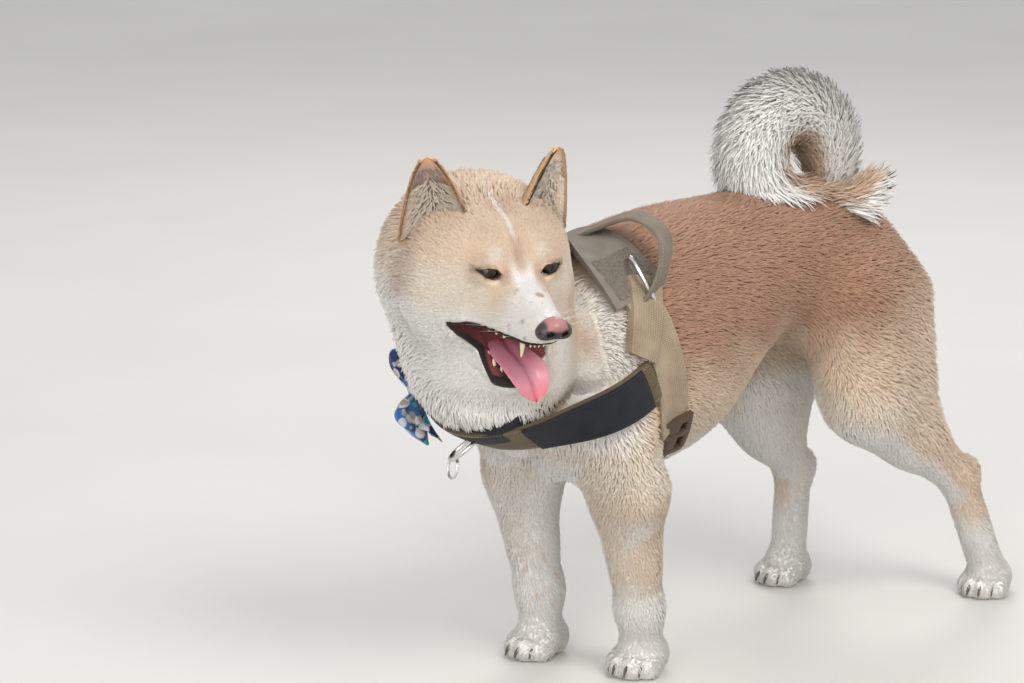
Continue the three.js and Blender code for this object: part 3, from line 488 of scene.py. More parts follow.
def lid_opening(q, side):
    """Negative between the lids of one eye."""
    centre = eye_centre(side)
    aside = (q[:, 1] - centre[1]) * SIDES[side]
    level = q[:, 2] - centre[2]
    top = np.interp(aside, *LID_LINES["upper"])
    bottom = np.interp(aside, *LID_LINES["lower"])
    behind = centre[0] - 1 - q[:, 0]
    return np.maximum.reduce([level - top, bottom - level, behind, np.abs(aside) - LID_REACH])


def with_face(p, d):
    """The skin's field with lids, lips, brow furrow and the groove under the nose."""
    q = to_head(p)
    d = carve(d, distance_to(BROW_FURROW, halved(p)), 10)
    d = carve(d, distance_to(LIP_GROOVE, halved(p)), 3)
    near = np.abs(mouth_field(p)) < 8
    if near.any():
        d[near] = blend(d[near], lip_field(p[near]), 1.5)
    for side in SIDES:
        around = np.linalg.norm(q - eye_centre(side), axis=-1) - EYE_RADIUS - LID
        d = blend(d, around, 7)
        d = carve(d, lid_opening(q, side), 1.2)
    return d


def skin_field(p):
    d = blend(flesh_field(p) + coat_depth(p), jaw_field(p) + JAW_COAT, 4)
    for name in ("shoulder_strap_left", "shoulder_strap_right"):
        pressed = STRAPS[name][0].covers(p, *STRAPS[name][1:], 2)
        d[pressed] = np.maximum(d[pressed], body_field(p[pressed]) + 2)
    for name in PAWS:
        at = paw_places(name)[0](0, 6, 16)
        d = blend(d, near_box(lambda q: paw_field(q, name), p, at - 40, at + 40), 8)
    d = blend(d, tail_field(p), 14)
    return np.maximum(d, SOLE_LEVEL - p[:, 2])


def body_skin(p):
    return np.maximum(skin_field(p), -head_edge(p, *BODY_SKIN))


def head_skin(p):
    return np.maximum(with_face(p, skin_field(p)), head_edge(p, *HEAD_SKIN))


def nose_field(p):
    q = halved(p) - NOSE_PLACE
    pad = blend(
        distance_to(ball([2, 0, 1], [11, 12, 9.5]), q),
        distance_to(ball([2, 9, -2], [8, 7.5, 7]), q),
        4,
    )
    pad = carve(pad, distance_to(ball(NOSTRIL, [6, 3.1, 2.3]), q), 1.6)
    pad = carve(pad, distance_to(limb([7, 11, -3], [3, 17, 0], 1.5, 0.8), q), 1.5)
    return carve(pad, distance_to(limb([15, 0, 3], [12, 0, -12], 0.9, 0.9), q), 2.4)


def polygons_of(field, low, high, cell, block=5):
    """The surface of a field, worked out only in the blocks of space that it may cross."""
    low, high = np.asarray(low, float), np.asarray(high, float)
    count = np.ceil((high - low) / (cell * block)).astype(int)
    middles = np.stack(np.meshgrid(*[np.arange(n) + 0.5 for n in count], indexing="ij"), -1)
    rough = field_in_parts(field, low + middles.reshape(-1, 3) * cell * block).reshape(count)
    values = np.repeat(np.repeat(np.repeat(rough, block, 0), block, 1), block, 2)
    active = np.argwhere(np.abs(rough) < cell * block * 1.35)
    inner = np.stack(np.meshgrid(*[np.arange(block)] * 3, indexing="ij"), -1).reshape(-1, 3)
    index = (active[:, None, :] * block + inner).reshape(-1, 3)
    values[tuple(index.T)] = field_in_parts(field, low + (index + 0.5) * cell)
    values[0], values[-1] = cell, cell
    values[:, 0], values[:, -1] = cell, cell
    values[:, :, 0], values[:, :, -1] = cell, cell
    grid = openvdb.FloatGrid(cell * block)
    grid.copyFromArray(values.astype(np.float32))
    points, quads = grid.convertToQuads(0.0)
    return low + (points.astype(float) + 0.5) * cell, quads.astype(np.int32)


def field_in_parts(field, p, size=250000):
    return np.concatenate([field(p[k:k + size]) for k in range(0, len(p), size)])


# The frame's shift, from a ring whose middle is known in both frames
SADDLE_RING_MIDDLE = np.array([66.0, -176.0, 366.0])
ring_low, ring_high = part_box("saddle_ring")
SHIFT = np.array((ring_low + ring_high) / 2) * 1000 - SADDLE_RING_MIDDLE
SHIFT[2] = 0


def placed(points):
    return (np.asarray(points, float) + SHIFT) / 1000


# Meshes from arrays
def mesh_of(name, points, polygons, colours=None, uvs=None, uv_name="Strap"):
    mesh = bpy.data.meshes.new(name)
    mesh.vertices.add(len(points))
    mesh.vertices.foreach_set("co", placed(points).astype(np.float32).ravel())
    corners = np.concatenate([np.asarray(p, np.int32).ravel() for p in polygons])
    sizes = np.concatenate([np.full(len(p), np.shape(p)[1], np.int32) for p in polygons])
    mesh.loops.add(len(corners))
    mesh.loops.foreach_set("vertex_index", corners)
    mesh.polygons.add(len(sizes))
    mesh.polygons.foreach_set("loop_start", np.concatenate([[0], np.cumsum(sizes)[:-1]]).astype(np.int32))
    mesh.update(calc_edges=True)
    mesh.polygons.foreach_set("use_smooth", np.full(len(sizes), True))
    if colours is not None:
        layer = mesh.color_attributes.new(name="Coat", type="FLOAT_COLOR", domain="POINT")
        whole = np.concatenate([colours, np.ones((len(colours), 1))], 1)
        layer.data.foreach_set("color", whole.astype(np.float32).ravel())
    if uvs is not None:
        layer = mesh.uv_layers.new(name=uv_name)
        layer.data.foreach_set("uv", np.asarray(uvs)[corners].astype(np.float32).ravel())
    return mesh


def piece(name, mesh, material, slot=None, replaced=()):
    made = bpy.data.objects.new(name, mesh)
    bpy.context.scene.collection.objects.link(made)
    mesh.materials.append(material)
    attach(made, "root")
    if replaced:
        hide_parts(*replaced)
    return made


def solid(name, form, material, slot=None, replaced=(), colours=None, uvs=None):
    """A piece from its points and faces."""
    return piece(name, mesh_of(name, *form, colours, uvs), material, slot, replaced)


def crisp(made, degrees):
    """Sharp edges where faces meet at more than this angle."""
    made.modifiers.new("crisp", "EDGE_SPLIT").split_angle = np.radians(degrees)


def outward(points, quads):
    """The same faces, turned so that they look out of the closed surface."""
    a, b, c = (points[quads[:, k]] for k in range(3))
    volume = dot(a, np.cross(b, c)).sum()
    return quads[:, ::-1] if volume < 0 else quads


def loft(rings, closed=False):
    """Points and faces of a skin through rings of points, capped unless it is closed."""
    rings = np.asarray(rings, float)
    m, n = rings.shape[:2]
    points = rings.reshape(-1, 3)
    r = np.arange(m if closed else m - 1)[:, None]
    k = np.arange(n)[None, :]
    q, k2 = (r + 1) % m, (k + 1) % n
    quads = np.stack([r * n + k, r * n + k2, q * n + k2, q * n + k], -1).reshape(-1, 4)
    if closed:
        return points, [outward(points, quads)]
    hubs = np.array([rings[0].mean(0), rings[-1].mean(0)])
    points = np.concatenate([points, hubs])
    k, k2 = np.arange(n), (np.arange(n) + 1) % n
    first = np.stack([np.full(n, m * n), k2, k], -1)
    last = np.stack([np.full(n, m * n + 1), (m - 1) * n + k, (m - 1) * n + k2], -1)
    tris = np.concatenate([first, last])
    a, b, c = (points[quads[:, i]] for i in range(3))
    if dot(a, np.cross(b, c)).sum() < 0:
        quads, tris = quads[:, ::-1], tris[:, ::-1]
    return points, [quads, tris]


def curve_through(points, count, closed=False):
    """Points and ways along a smooth curve through the given ones."""
    points = np.asarray(points, float)
    if closed:
        padded = np.concatenate([points[-1:], points, points[:2]])
    else:
        before, after = 2 * points[:1] - points[1:2], 2 * points[-1:] - points[-2:-1]
        padded = np.concatenate([before, points, after])
    spans = len(padded) - 3
    t = np.linspace(0, spans, count, endpoint=not closed)
    k = np.minimum(t.astype(int), spans - 1)
    f = (t - k)[:, None]
    p0, p1, p2, p3 = (padded[k + i] for i in range(4))
    gaps = [np.maximum(np.linalg.norm(b - a, axis=-1, keepdims=True), 1e-3) ** 0.5
            for a, b in ((p0, p1), (p1, p2), (p2, p3))]
    m1 = ((p1 - p0) / gaps[0] - (p2 - p0) / (gaps[0] + gaps[1]) + (p2 - p1) / gaps[1]) * gaps[1]
    m2 = ((p2 - p1) / gaps[1] - (p3 - p1) / (gaps[1] + gaps[2]) + (p3 - p2) / gaps[2]) * gaps[1]
    at = (
        (2 * f ** 3 - 3 * f ** 2 + 1) * p1
        + (f ** 3 - 2 * f ** 2 + f) * m1
        + (3 * f ** 2 - 2 * f ** 3) * p2
        + (f ** 3 - f ** 2) * m2
    )
    if closed:
        way = np.gradient(np.concatenate([at[-1:], at, at[:1]]), axis=0)[1:-1]
    else:
        way = np.gradient(at, axis=0)
    return at, unit(way)


def tube(points, across, through, sides=12, wide=(0, 0, 1), count=None, closed=False, round_ends=False):
    """A tube along a curve. across and through are its half sizes: numbers or functions of 0 to 1."""
    count = count or 6 * len(points)
    at, way = curve_through(points, count, closed)
    t = np.linspace(0, 1, count)
    size = [np.array([f(x) if callable(f) else f for x in t], float) for f in (across, through)]
    if round_ends:
        rounding = np.sqrt(np.clip(1 - np.abs(2 * t - 1) ** 16, 0.02, 1))
        size = [s * rounding for s in size]
    out = unit(np.cross(way, np.asarray(wide, float)))
    side = np.cross(out, way)
    angle = 2 * np.pi * np.arange(sides) / sides
    rings = (
        at[:, None]
        + side[:, None] * (size[0][:, None] * np.cos(angle))[..., None]
        + out[:, None] * (size[1][:, None] * np.sin(angle))[..., None]
    )
    return loft(rings, closed)


def joined(parts):
    """Several (points, faces) as one."""
    points, faces, start = [], [], 0
    for p, f in parts:
        points.append(p)
        faces += [np.asarray(x) + start for x in f]
        start += len(p)
    return np.concatenate(points), faces


# Materials
def shader(name, **sockets):
    """A new material with constants on its principled shader; returns it with a node maker."""
    made = bpy.data.materials.new(name)
    made.use_nodes = True
    tree = made.node_tree
    principled = next(n for n in tree.nodes if n.type == "BSDF_PRINCIPLED")
    for socket, value in sockets.items():
        principled.inputs[socket.replace("_", " ")].default_value = value

    def node(kind, inputs=None, **settings):
        new = tree.nodes.new("ShaderNode" + kind)
        for key, value in settings.items():
            setattr(new, key, value)
        for key, value in (inputs or {}).items():
            if isinstance(value, bpy.types.NodeSocket):
                tree.links.new(value, new.inputs[key])
            else:
                new.inputs[key].default_value = value
        return new

    def finish(colour=None, roughness=None, height=None, depth=0.0003):
        if colour is not None:
            tree.links.new(colour, principled.inputs["Base Color"])
        if roughness is not None:
            tree.links.new(roughness, principled.inputs["Roughness"])
        if height is not None:
            bump = node("Bump", {"Height": height, "Distance": depth, "Strength": 1.0})
            tree.links.new(bump.outputs["Normal"], principled.inputs["Normal"])
        return made

    return node, finish


def rgba(colour):
    return (*[float(c) for c in colour], 1.0)


def mixed(node, factor, a, b, mode="MIX"):
    return node("Mix", {0: factor, 6: a, 7: b}, data_type="RGBA", blend_type=mode).outputs[2]


def between_values(node, value, low, high, new_low, new_high):
    inputs = {"Value": value, "From Min": low, "From Max": high, "To Min": new_low, "To Max": new_high}
    return node("MapRange", inputs).outputs[0]


def noise(node, scale, detail):
    place = node("TexCoord").outputs["Object"]
    return node("TexNoise", {"Vector": place, "Scale": scale, "Detail": detail}).outputs["Fac"]


def coat_colour(node):
    return node("Attribute", attribute_name="Coat").outputs["Color"]


def toned(node, pattern, low, high, dark, pale):
    """The coat's colours, darker and paler by a fine pattern."""
    tone = between_values(node, pattern, low, high, dark, pale)
    grey = node("CombineColor", {"Red": tone, "Green": tone, "Blue": tone}).outputs[0]
    return mixed(node, 1.0, coat_colour(node), grey, "MULTIPLY")


def coat_material():
    node, finish = shader("coat_hair", Roughness=0.62, Specular_IOR_Level=0.25, Sheen_Weight=0.15)
    place = node("UVMap", uv_map="OFBake").outputs[0]
    inputs = {"Vector": place, "Scale": 340.0, "Distortion": 1.2, "Detail": 1.0}
    strands = node("TexWave", inputs).outputs["Fac"]
    return finish(toned(node, strands, 0.0, 1.0, 0.90, 1.04), height=strands, depth=0.0002)


def skin_material():
    node, finish = shader("coat_skin", Roughness=0.7, Specular_IOR_Level=0.25, Sheen_Weight=0.1)
    hair = noise(node, 900.0, 3.0)
    return finish(toned(node, hair, 0.3, 0.7, 0.88, 1.0), height=hair, depth=0.0004)


def attribute_material(name, roughness, scale, bump, coat=0.0):
    """A finish whose colours are worked out point by point, with a fine grain over them."""
    node, finish = shader(name, Specular_IOR_Level=0.35, Coat_Weight=coat, Coat_Roughness=0.15)
    place = node("TexCoord").outputs["Object"]
    cells = node("TexVoronoi", {"Vector": place, "Scale": scale}).outputs["Distance"]
    tone = between_values(node, cells, 0.0, 0.7, roughness - 0.08, roughness + 0.12)
    return finish(coat_colour(node), tone, cells, bump)


def woven_material(name, colour, dark, pitch, ribs=1.0):
    """Webbing: cross ribs and warp threads in the strap's own directions, with wear and dust."""
    node, finish = shader(name, Specular_IOR_Level=0.25, Sheen_Weight=0.06)
    place = node("UVMap", uv_map="Strap").outputs[0]
    inputs = {"Vector": place, "Distortion": 0.6, "Detail": 1.0}
    weft = node("TexWave", {**inputs, "Scale": 0.314 / pitch}, bands_direction="X").outputs["Fac"]
    warp = node("TexWave", {**inputs, "Scale": 0.314 / (pitch * 1.6)}, bands_direction="Y").outputs["Fac"]
    gaps = between_values(node, warp, 0, 1, 1 - 0.7 * ribs, 1)
    weave = node("Math", {0: weft, 1: gaps}, operation="MULTIPLY").outputs[0]
    wear = noise(node, 60.0, 5.0)
    worn = between_values(node, wear, 0.35, 0.7, 0.0, 0.35)
    base = mixed(node, weave, rgba(dark), rgba(colour))
    base = mixed(node, worn, base, rgba(np.asarray(colour) * 1.25 + 0.02))
    return finish(base, between_values(node, wear, 0.3, 0.7, 0.75, 0.95), weave, 0.0004)


def metal_material():
    node, finish = shader("polished_steel", Metallic=1.0)
    scratch = noise(node, 900.0, 4.0)
    tone = between_values(node, scratch, 0.3, 0.7, 0.16, 0.36)
    base = mixed(node, scratch, (0.55, 0.54, 0.52, 1), (0.78, 0.77, 0.74, 1))
    return finish(base, tone, scratch, 0.00004)


def plastic_material():
    node, finish = shader("buckle_plastic", Specular_IOR_Level=0.4)
    grain = noise(node, 1500.0, 3.0)
    base = mixed(node, grain, (0.035, 0.020, 0.011, 1), (0.085, 0.050, 0.028, 1))
    return finish(base, between_values(node, grain, 0.3, 0.7, 0.38, 0.6), grain, 0.0001)


def bow_material():
    """Cotton with a scatter of plain round blotches in navy, white, grey and teal on blue."""
    node, finish = shader("bow_cotton", Specular_IOR_Level=0.25, Sheen_Weight=0.3)
    place = node("TexCoord").outputs["Object"]
    base = rgba([0.02, 0.11, 0.33])
    blots = (
        (48.0, 0.52, [0.015, 0.035, 0.10]),
        (60.0, 0.46, [0.50, 0.50, 0.52]),
        (80.0, 0.36, [0.32, 0.27, 0.23]),
        (52.0, 0.26, [0.02, 0.30, 0.36]),
    )
    for k, (scale, size, colour) in enumerate(blots):
        moved = node("VectorMath", {0: place, 1: (k * 3.1, k * 1.7, 0.4)}, operation="ADD").outputs[0]
        cells = node("TexVoronoi", {"Vector": moved, "Scale": scale}).outputs["Distance"]
        inside = between_values(node, cells, size, size - 0.05, 0.0, 1.0)
        base = mixed(node, inside, base, rgba(colour))
    weave = noise(node, 2500.0, 2.0)
    return finish(base, between_values(node, weave, 0.3, 0.7, 0.75, 0.95), weave, 0.0002)


def plain_material(name, colour, roughness, scale=400.0, spread=0.25, **sockets):
    node, finish = shader(name, **sockets)
    cloud = noise(node, scale, 4.0)
    base = mixed(node, cloud, rgba(np.asarray(colour) * (1 - spread)), rgba(colour))
    tone = between_values(node, cloud, 0.3, 0.7, roughness * 0.85, roughness * 1.15)
    return finish(base, tone, cloud, 0.00005)


# Markings of the coat, the same for skin and tufts
def spot_of(p, at, radius, edge=0.5):
    return ramp(np.linalg.norm(p - np.asarray(at, float), axis=-1), radius, radius * edge)


FRECKLES = np.stack([
    RANDOM.uniform(6, 58, 90),
    RANDOM.uniform(-22, 22, 90),
    RANDOM.uniform(-42, -2, 90),
], -1)


def head_colours(q):
    """Markings of the head, from places in its own frame."""
    ahead, left, up = q.T
    side = np.abs(left)
    half = np.stack([ahead, side, up], -1)
    far_cheek = 1 - 0.75 * ramp(left, 16, 40)
    ruff_patch = ramp(distance_to(RUFF_PATCH, q) + 5 * ripple(q, 30, 6), 32, 2)
    forehead_line = ramp(side, 3.2, 1.0) * ramp(up, 22, 34) * ramp(up, 56, 46)
    freckle = np.min(np.linalg.norm(q[:, None] - FRECKLES[None], axis=-1), axis=1)
    muzzle = ramp(ahead, 6, 16) * ramp(up, -48, -40)
    eyes = np.full(len(q), 50.0)
    for name in SIDES:
        far = np.linalg.norm(q - eye_centre(name), axis=-1) - EYE_RADIUS
        eyes = np.minimum(eyes, np.maximum(lid_opening(q, name), far - 4))
    return layered(
        lerp(CREAM, TAN, 0.08),
        (CREAM * 1.04, ramp(ripple(q, 34, 2), 0.0, 0.8) * 0.5),
        (PALE, ramp(side, 26, 48) * ramp(up, 20, -10)),
        (WHITE, ramp(up, -14, -44) * ramp(side, 10, 30) * far_cheek),
        (TAN, 0.35 * spot_of(half, [-62, 88, -6], 34)),
        (WHITE, ramp(up, -40, -62) * far_cheek),
        (ORANGE, 0.6 * ruff_patch),
        (WHITE, ramp(ahead, 8, 34) * 0.9),
        (WHITE * 1.04, ramp(side, 13, 6) * ramp(ahead, -4, 12)),
        (PALE, 0.75 * spot_of(half, [2, 22, 22], 12)),
        (ROSY, 0.35 * spot_of(q, [-44, 6, 52], 22)),
        (ORANGE, 0.35 * spot_of(q, [6, 24, 18], 9)),
        (PALE, 0.8 * spot_of(half, [4, 36, -14], 13)),
        (ROSY, 0.35 * ramp(side, 7, 2) * ramp(ahead, -20, -2) * ramp(ahead, 14, 4)),
        (WHITE, 0.7 * forehead_line),
        (ROSY, 0.45 * spot_of(half, [6, 17, 4], 9)),
        (GREY, 0.35 * spot_of(half, [8, 15, -2], 7)),
        (FRECKLE, 0.6 * ramp(freckle, 2.6, 1.0) * muzzle),
        (ROSY * 1.1, 0.8 * spot_of(q, [36, 3, -8], 5)),
        (BROWN, 0.5 * ramp(eyes, 4.5, 1.8)),
        (BLACK, ramp(eyes, 1.9, 1.1)),
    )


def neck_colours(p, q, n):
    ahead, left, up = q.T
    return layered(
        CREAM,
        (PALE, ramp(ripple(p, 50, 3), -0.2, 0.8) * 0.6),
        (WHITE, ramp(up, -34, -66) * ramp(n[:, 1], 0.1, -0.35)),
        (WHITE, ramp(left, -30, -78) * ramp(up, 10, -40)),
        (TAN, 0.45 * ramp(n[:, 2], 0.2, 0.8) * ramp(ahead, -90, -125)),
        (ORANGE, 0.85 * spot_of(p, [84, -268, 348], 38, 0.35)),
    )


def coat_colours(p, n):
    """Markings from the place and the way that the surface faces, with painted shade in the groin where it
    faces down.
    """
    x, y, z = p.T
    q = to_head(p)
    wander = ripple(p, 60, 1)
    leg = ramp(z, 215, 150)
    inner_leg = ramp(-n[:, 0] * np.sign(x), 0.15, 0.7) * ramp(z, 250, 215)
    groin_shade = spot_of(p, [20, 92, 246], 60, 0.3)
    right_leg = ramp(x, -10, -25) * ramp(y, -120, -140) * ramp(z, 190, 150)
    dots = ramp(ripple(p, 17, 9), 0.45, 0.62) * ramp(x, -10, -25) * ramp(y, -140, -160)
    colour = layered(
        TAN,
        (ROSY, ramp(ripple(p, 110, 4), -0.3, 0.7) * 0.8),
        (BROWN, 0.35 * ramp(ripple(p, 44, 7), 0.15, 0.7) * ramp(y, 20, 90) * ramp(z, 345, 385)),
        (CREAM, ramp(z + 12 * wander, 315, 240)),
        (PALE, ramp(z + 10 * wander, 240, 205)),
        (CREAM, ramp(y, 95, 165) * ramp(z, 350, 290) * 0.8),
        (PALE, ramp(y, 175, 225) * ramp(z, 120, 200) * 0.8),
        (CREAM * 1.03, leg * 0.7),
        (TAN, 0.25 * leg * spot_of(p, [92, -192, 150], 26)),
        (WHITE, ramp(z + 6 * wander, 104, 62)),
        (WHITE, inner_leg * 0.8),
        (WHITE, ramp(z, 222, 196) * ramp(-n[:, 2], 0.2, 0.6)),
        # Painted shade: brown in the groin, on faces that look down
        (BROWN, 0.35 * groin_shade * ramp(-n[:, 2], 0.0, 0.6)),
        (WHITE, right_leg * 0.75),
        (ORANGE, 0.35 * dots * ramp(z, 130, 100) * ramp(z, 15, 40)),
        (WHITE, ramp(y, -232, -262) * ramp(z, 330, 300) * ramp(x, 78, 48)),
        (neck_colours(p, q, n), neck_share(p)),
    )
    head = face_share(p, q, -98, -66)
    some = head > 0
    if some.any():
        colour[some] = lerp(colour[some], head_colours(q[some]), head[some])
    return colour


def tail_places(p):
    """For points near the tail: how far along it they are, its way there and the way out of it."""
    fine = np.linspace(0, 1, 160)
    path = tail_at(fine)
    index = np.empty(len(p), int)
    for k in range(0, len(p), 20000):
        gap = np.linalg.norm(p[k:k + 20000, None] - path[None], axis=-1)
        index[k:k + 20000] = gap.argmin(1)
    way = unit(np.gradient(path, axis=0))[index]
    out = p - path[index]
    out = unit(out - dot(out, way)[:, None] * way)
    return fine[index], way, out, path[index]


def tail_colours(p):
    """White outside, tan where the hair faces the middle of the curl."""
    t, _, out, at = tail_places(p)
    hub = TAIL_MIDDLE + ((at - TAIL_MIDDLE) @ TAIL_SIDE)[:, None] * TAIL_SIDE
    inward = dot(out, unit(hub - at))
    return layered(
        WHITE * 1.02,
        (lerp(CREAM, TAN, 0.5), ramp(inward, 0.25, 0.75)),
        (BROWN, 0.55 * ramp(inward, 0.75, 1.0) * ramp(ripple(p, 26, 5), -0.4, 0.6)),
        (TAN, ramp(t, 0.12, 0.0)),
    )


def is_tail(p):
    return tail_field(p) < np.minimum(body_field(p) + 4, 40)


def skin_colours(p, n):
    colour = coat_colours(p, n)
    tail = is_tail(p)
    if tail.any():
        colour[tail] = tail_colours(p[tail])
    return colour


def head_skin_colours(p, n):
    """Coat colours with black lips, and the inside of the mouth in its red lining darkened with painted
    shade.
    """
    ahead, _, up = to_head(p).T
    inside = mouth_field(p)
    in_mouth = (ahead > MOUTH_CORNER - 4) & (ahead < 60)
    buried = whole_field(p) + coat_depth(p)
    walls_in_shade = np.maximum(ramp(inside, 2.0, 1.0), ramp(buried, -1.5, -3.0)) * in_mouth
    floor = ramp(distance_to(MOUTH_FLOOR, to_head(p)), 2.0, 0.8) * (up > -96) * in_mouth
    near = np.abs(inside) < 9
    lips = np.full(len(p), 9.0)
    lips[near] = lip_field(p[near])
    return layered(
        coat_colours(p, n),
        # Painted shade: the walls and the floor inside the mouth in a darkened red
        (MOUTH_RED_SHADED, walls_in_shade),
        (MOUTH_RED_SHADED, floor),
        (BLACK, ramp(lips, 1.0, 0.3)),
    )


# The way the coat lies, and how long it is
def lie_of(p, n):
    """The way that the hair points, before it is laid along the skin."""
    _, y, z = p.T
    q = to_head(p)
    away = unit(q - np.array([62, 0, -16])) @ HEAD_AXES
    ruff = unit(unit(q - np.array([-20, 0, -10])) @ HEAD_AXES + np.array([0, 0.4, -0.9]))
    way = layered(
        np.array([0, 1, -0.3]),
        (np.array([0, 0.35, -1.0]), ramp(z, 270, 190)),
        (np.array([0, 0.6, -0.8]), ramp(y, 90, 190) * ramp(z, 380, 300)),
        (np.array([0, 0.1, -1.0]), ramp(y, -215, -262) * ramp(z, 340, 300)),
        (ruff, neck_share(p)),
        (away, face_share(p, q, -92, -58)),
    )
    turn = 0.20 * ripple(p, 46, 3) + 0.06 * ripple(p, 15, 6)
    across = np.cross(n, unit(way))
    return way + across * turn[:, None]


def length_of(p):
    _, y, z = p.T
    q = to_head(p)
    body = 13 + 5 * ramp(y, 120, 200)
    legs = 7 + 6 * ramp(y, 130, 210) * ramp(z, 120, 190)
    length = lerp_value(legs, body, ramp(z, 150, 235))
    length = lerp_value(4.5, length, ramp(z, 24, 60))
    length = lerp_value(length, 19, neck_share(p))
    face = 7.5 - 4.2 * ramp(q[:, 0], -50, 6)
    return lerp_value(length, face, face_share(p, q, -90, -46))


# Straps round the body: each is swept by rays in a plane and lies where they leave the coat
class Band:
    """A plane round the body, with the ways in it that a strap's degrees count from."""

    def __init__(self, field, middle, axis, start):
        self.field = field
        self.middle = np.array(middle, float)
        self.normal = unit(axis)
        start = np.array(start, float)
        self.first = unit(start - self.normal * (start @ self.normal))
        self.second = np.cross(self.normal, self.first)

    def ways(self, degrees):
        angle = np.radians(degrees)
        return np.cos(angle)[..., None] * self.first + np.sin(angle)[..., None] * self.second

    def at(self, degrees, offset, level):
        """Points of the strap at these angles, offsets across it and levels over the coat."""
        shape = np.broadcast(degrees, offset, level).shape
        degrees, offset, level = (np.broadcast_to(x, shape).ravel() for x in (degrees, offset, level))
        start = self.middle + offset[:, None] * self.normal
        return reach_to(self.field, start, self.ways(degrees), level).reshape(*shape, 3)

    def covers(self, p, low, high, width, margin=0.0):
        q = p - self.middle
        offset = q @ self.normal
        flat = q - offset[:, None] * self.normal
        angle = np.degrees(np.arctan2(flat @ self.second, flat @ self.first))
        inside = ((angle - low) % 360) < (high - low)
        inside &= np.abs(offset) < width / 2 + margin
        if inside.any():
            inside[inside] = np.abs(self.field(p[inside])) < 26
        return inside


GIRTH = Band(trunk_field, [0, -174, 290], [0, 1, 0.2], [0, 0, 1])
GIRTH_OVER = Band(body_field, [0, -174, 290], [0, 1, 0.2], [0, 0, 1])
CHEST = Band(body_field, [0, -196, 282], [0, -0.4, 0.915], [0, -0.915, -0.4])
SHOULDER = Band(body_field, [0, -205, 307], [0, 1, -0.5], [0, 0, 1])
COLLAR = Band(flesh_field, [-4, -268, 306], [0, -0.79, 0.6], [0, 0, -1])
STRAPS = {
    "saddle": (GIRTH_OVER, -50, 50, 66),
    "side_strap_left": (GIRTH_OVER, 50, 123, 38),
    "side_strap_right": (GIRTH_OVER, -123, -50, 38),
    "girth_strap": (GIRTH, 130, 230, 34),
    "chest_strap": (CHEST, -92, 92, 38),
    "shoulder_strap_left": (SHOULDER, 44, 92, 30),
    "shoulder_strap_right": (SHOULDER, -92, -44, 30),
}
COLLAR_SPAN = (-84, 40, 24)


def under_straps(p, margin=0.0):
    hidden = COLLAR.covers(p, *COLLAR_SPAN, margin)
    for span in STRAPS.values():
        hidden |= span[0].covers(p, *span[1:], margin)
    return hidden


# Tufts: thin tapered locks rooted in the skin, bent along the lie of the coat
STATIONS = np.array([0.0, 0.4, 0.78])
TUFT_WIDTHS = np.array([0.9, 1.0, 0.62])
TUFT_RIDGE = 0.22
TUFT_DROOP = 0.42
ROOT_SINKS = 1.0
ROUNDNESS = 0.7
PATCH = 0.003


def tuft_arrays(root, normal, way, length, width, lift, bend):
    """Points of all tufts, ten each: three stations of left, right and ridge, then the tip."""
    side = unit(np.cross(normal, way))
    curve = []
    for t in [*STATIONS, 1.0]:
        rise = np.sin(lift) * (t - TUFT_DROOP * t * t)
        run = np.cos(lift) * t
        aside = bend * t * t
        curve.append(
            root
            + way * (run * length)[:, None]
            + normal * (rise * length - ROOT_SINKS * (t == 0))[:, None]
            + side * (aside * length)[:, None]
        )
    points = np.empty((len(root), 10, 3))
    for k, share in enumerate(TUFT_WIDTHS):
        half = side * (width * share / 2)[:, None]
        points[:, 3 * k] = curve[k] - half
        points[:, 3 * k + 1] = curve[k] + half
        points[:, 3 * k + 2] = curve[k] + normal * (TUFT_RIDGE * width * share)[:, None]
    points[:, 9] = curve[3]
    return points


TUFT_QUADS = np.array([
    [3 * k + a, 3 * k + b, 3 * k + 3 + b, 3 * k + 3 + a]
    for k in range(2) for a, b in ((0, 1), (1, 2), (2, 0))
])
TUFT_TRIS = np.array([[6, 7, 9], [7, 8, 9], [8, 6, 9], [0, 2, 1]])
TUFT_LOCAL = np.array([[s, t] for t in STATIONS for s in (-0.5, 0.5, 0.0)] + [[0.0, 1.0]]) - [0, 0.5]
# Painted shading along each tuft: painted shade at the root, painted light towards the tip
TUFT_PAINTED_SHADING = np.array([0.92] * 3 + [0.98] * 3 + [1.03] * 3 + [1.05])


def unwrap(p):
    """A place on a flat atlas for each point: each part of the skin unrolled round its own middle line."""
    q = to_head(p)
    tail = is_tail(p)
    head = (head_edge(p, *SKINS_MEET) < 0) & ~tail
    leg = (p[:, 2] < 205) & ~tail & ~head
    lines = [
        (~tail & ~head & ~leg, 0, p[:, 0], p[:, 2] - 300, (p[:, 1] + 400) / 700),
        (head, 1, q[:, 1], q[:, 2] + 20, (q[:, 0] + 90) / 180),
    ]
    for k, (side, joint) in enumerate(((1, -1), (-1, -1), (1, 1), (-1, 1))):
        mine = leg & (np.sign(p[:, 0]) == side) & (np.sign(p[:, 1] + 20) == joint)
        middle = (FORE if joint < 0 else HIND)["left" if side > 0 else "right"][-2]
        lines.append((mine, 2 + k, p[:, 0] - middle[0], p[:, 1] - middle[1], p[:, 2] / 215))
    uv = np.zeros((len(p), 2))
    for mine, tile, a, b, along in lines:
        round_it = np.arctan2(a[mine], b[mine]) / (2 * np.pi) + 0.5
        uv[mine] = np.stack([round_it, np.clip(along[mine], 0, 1)], -1) + [tile % 4, tile // 4]
    if tail.any():
        t, way, out, at = tail_places(p[tail])
        up = unit(np.cross(way, TAIL_SIDE))
        angle = np.arctan2(dot(out, up), out @ TAIL_SIDE) / (2 * np.pi) + 0.5
        uv[tail] = np.stack([angle, t], -1) + [2, 1]
    tile = np.floor(uv)
    return (tile + 0.02 + 0.95 * np.clip(uv - tile, 0, 1)) / [4, 2]


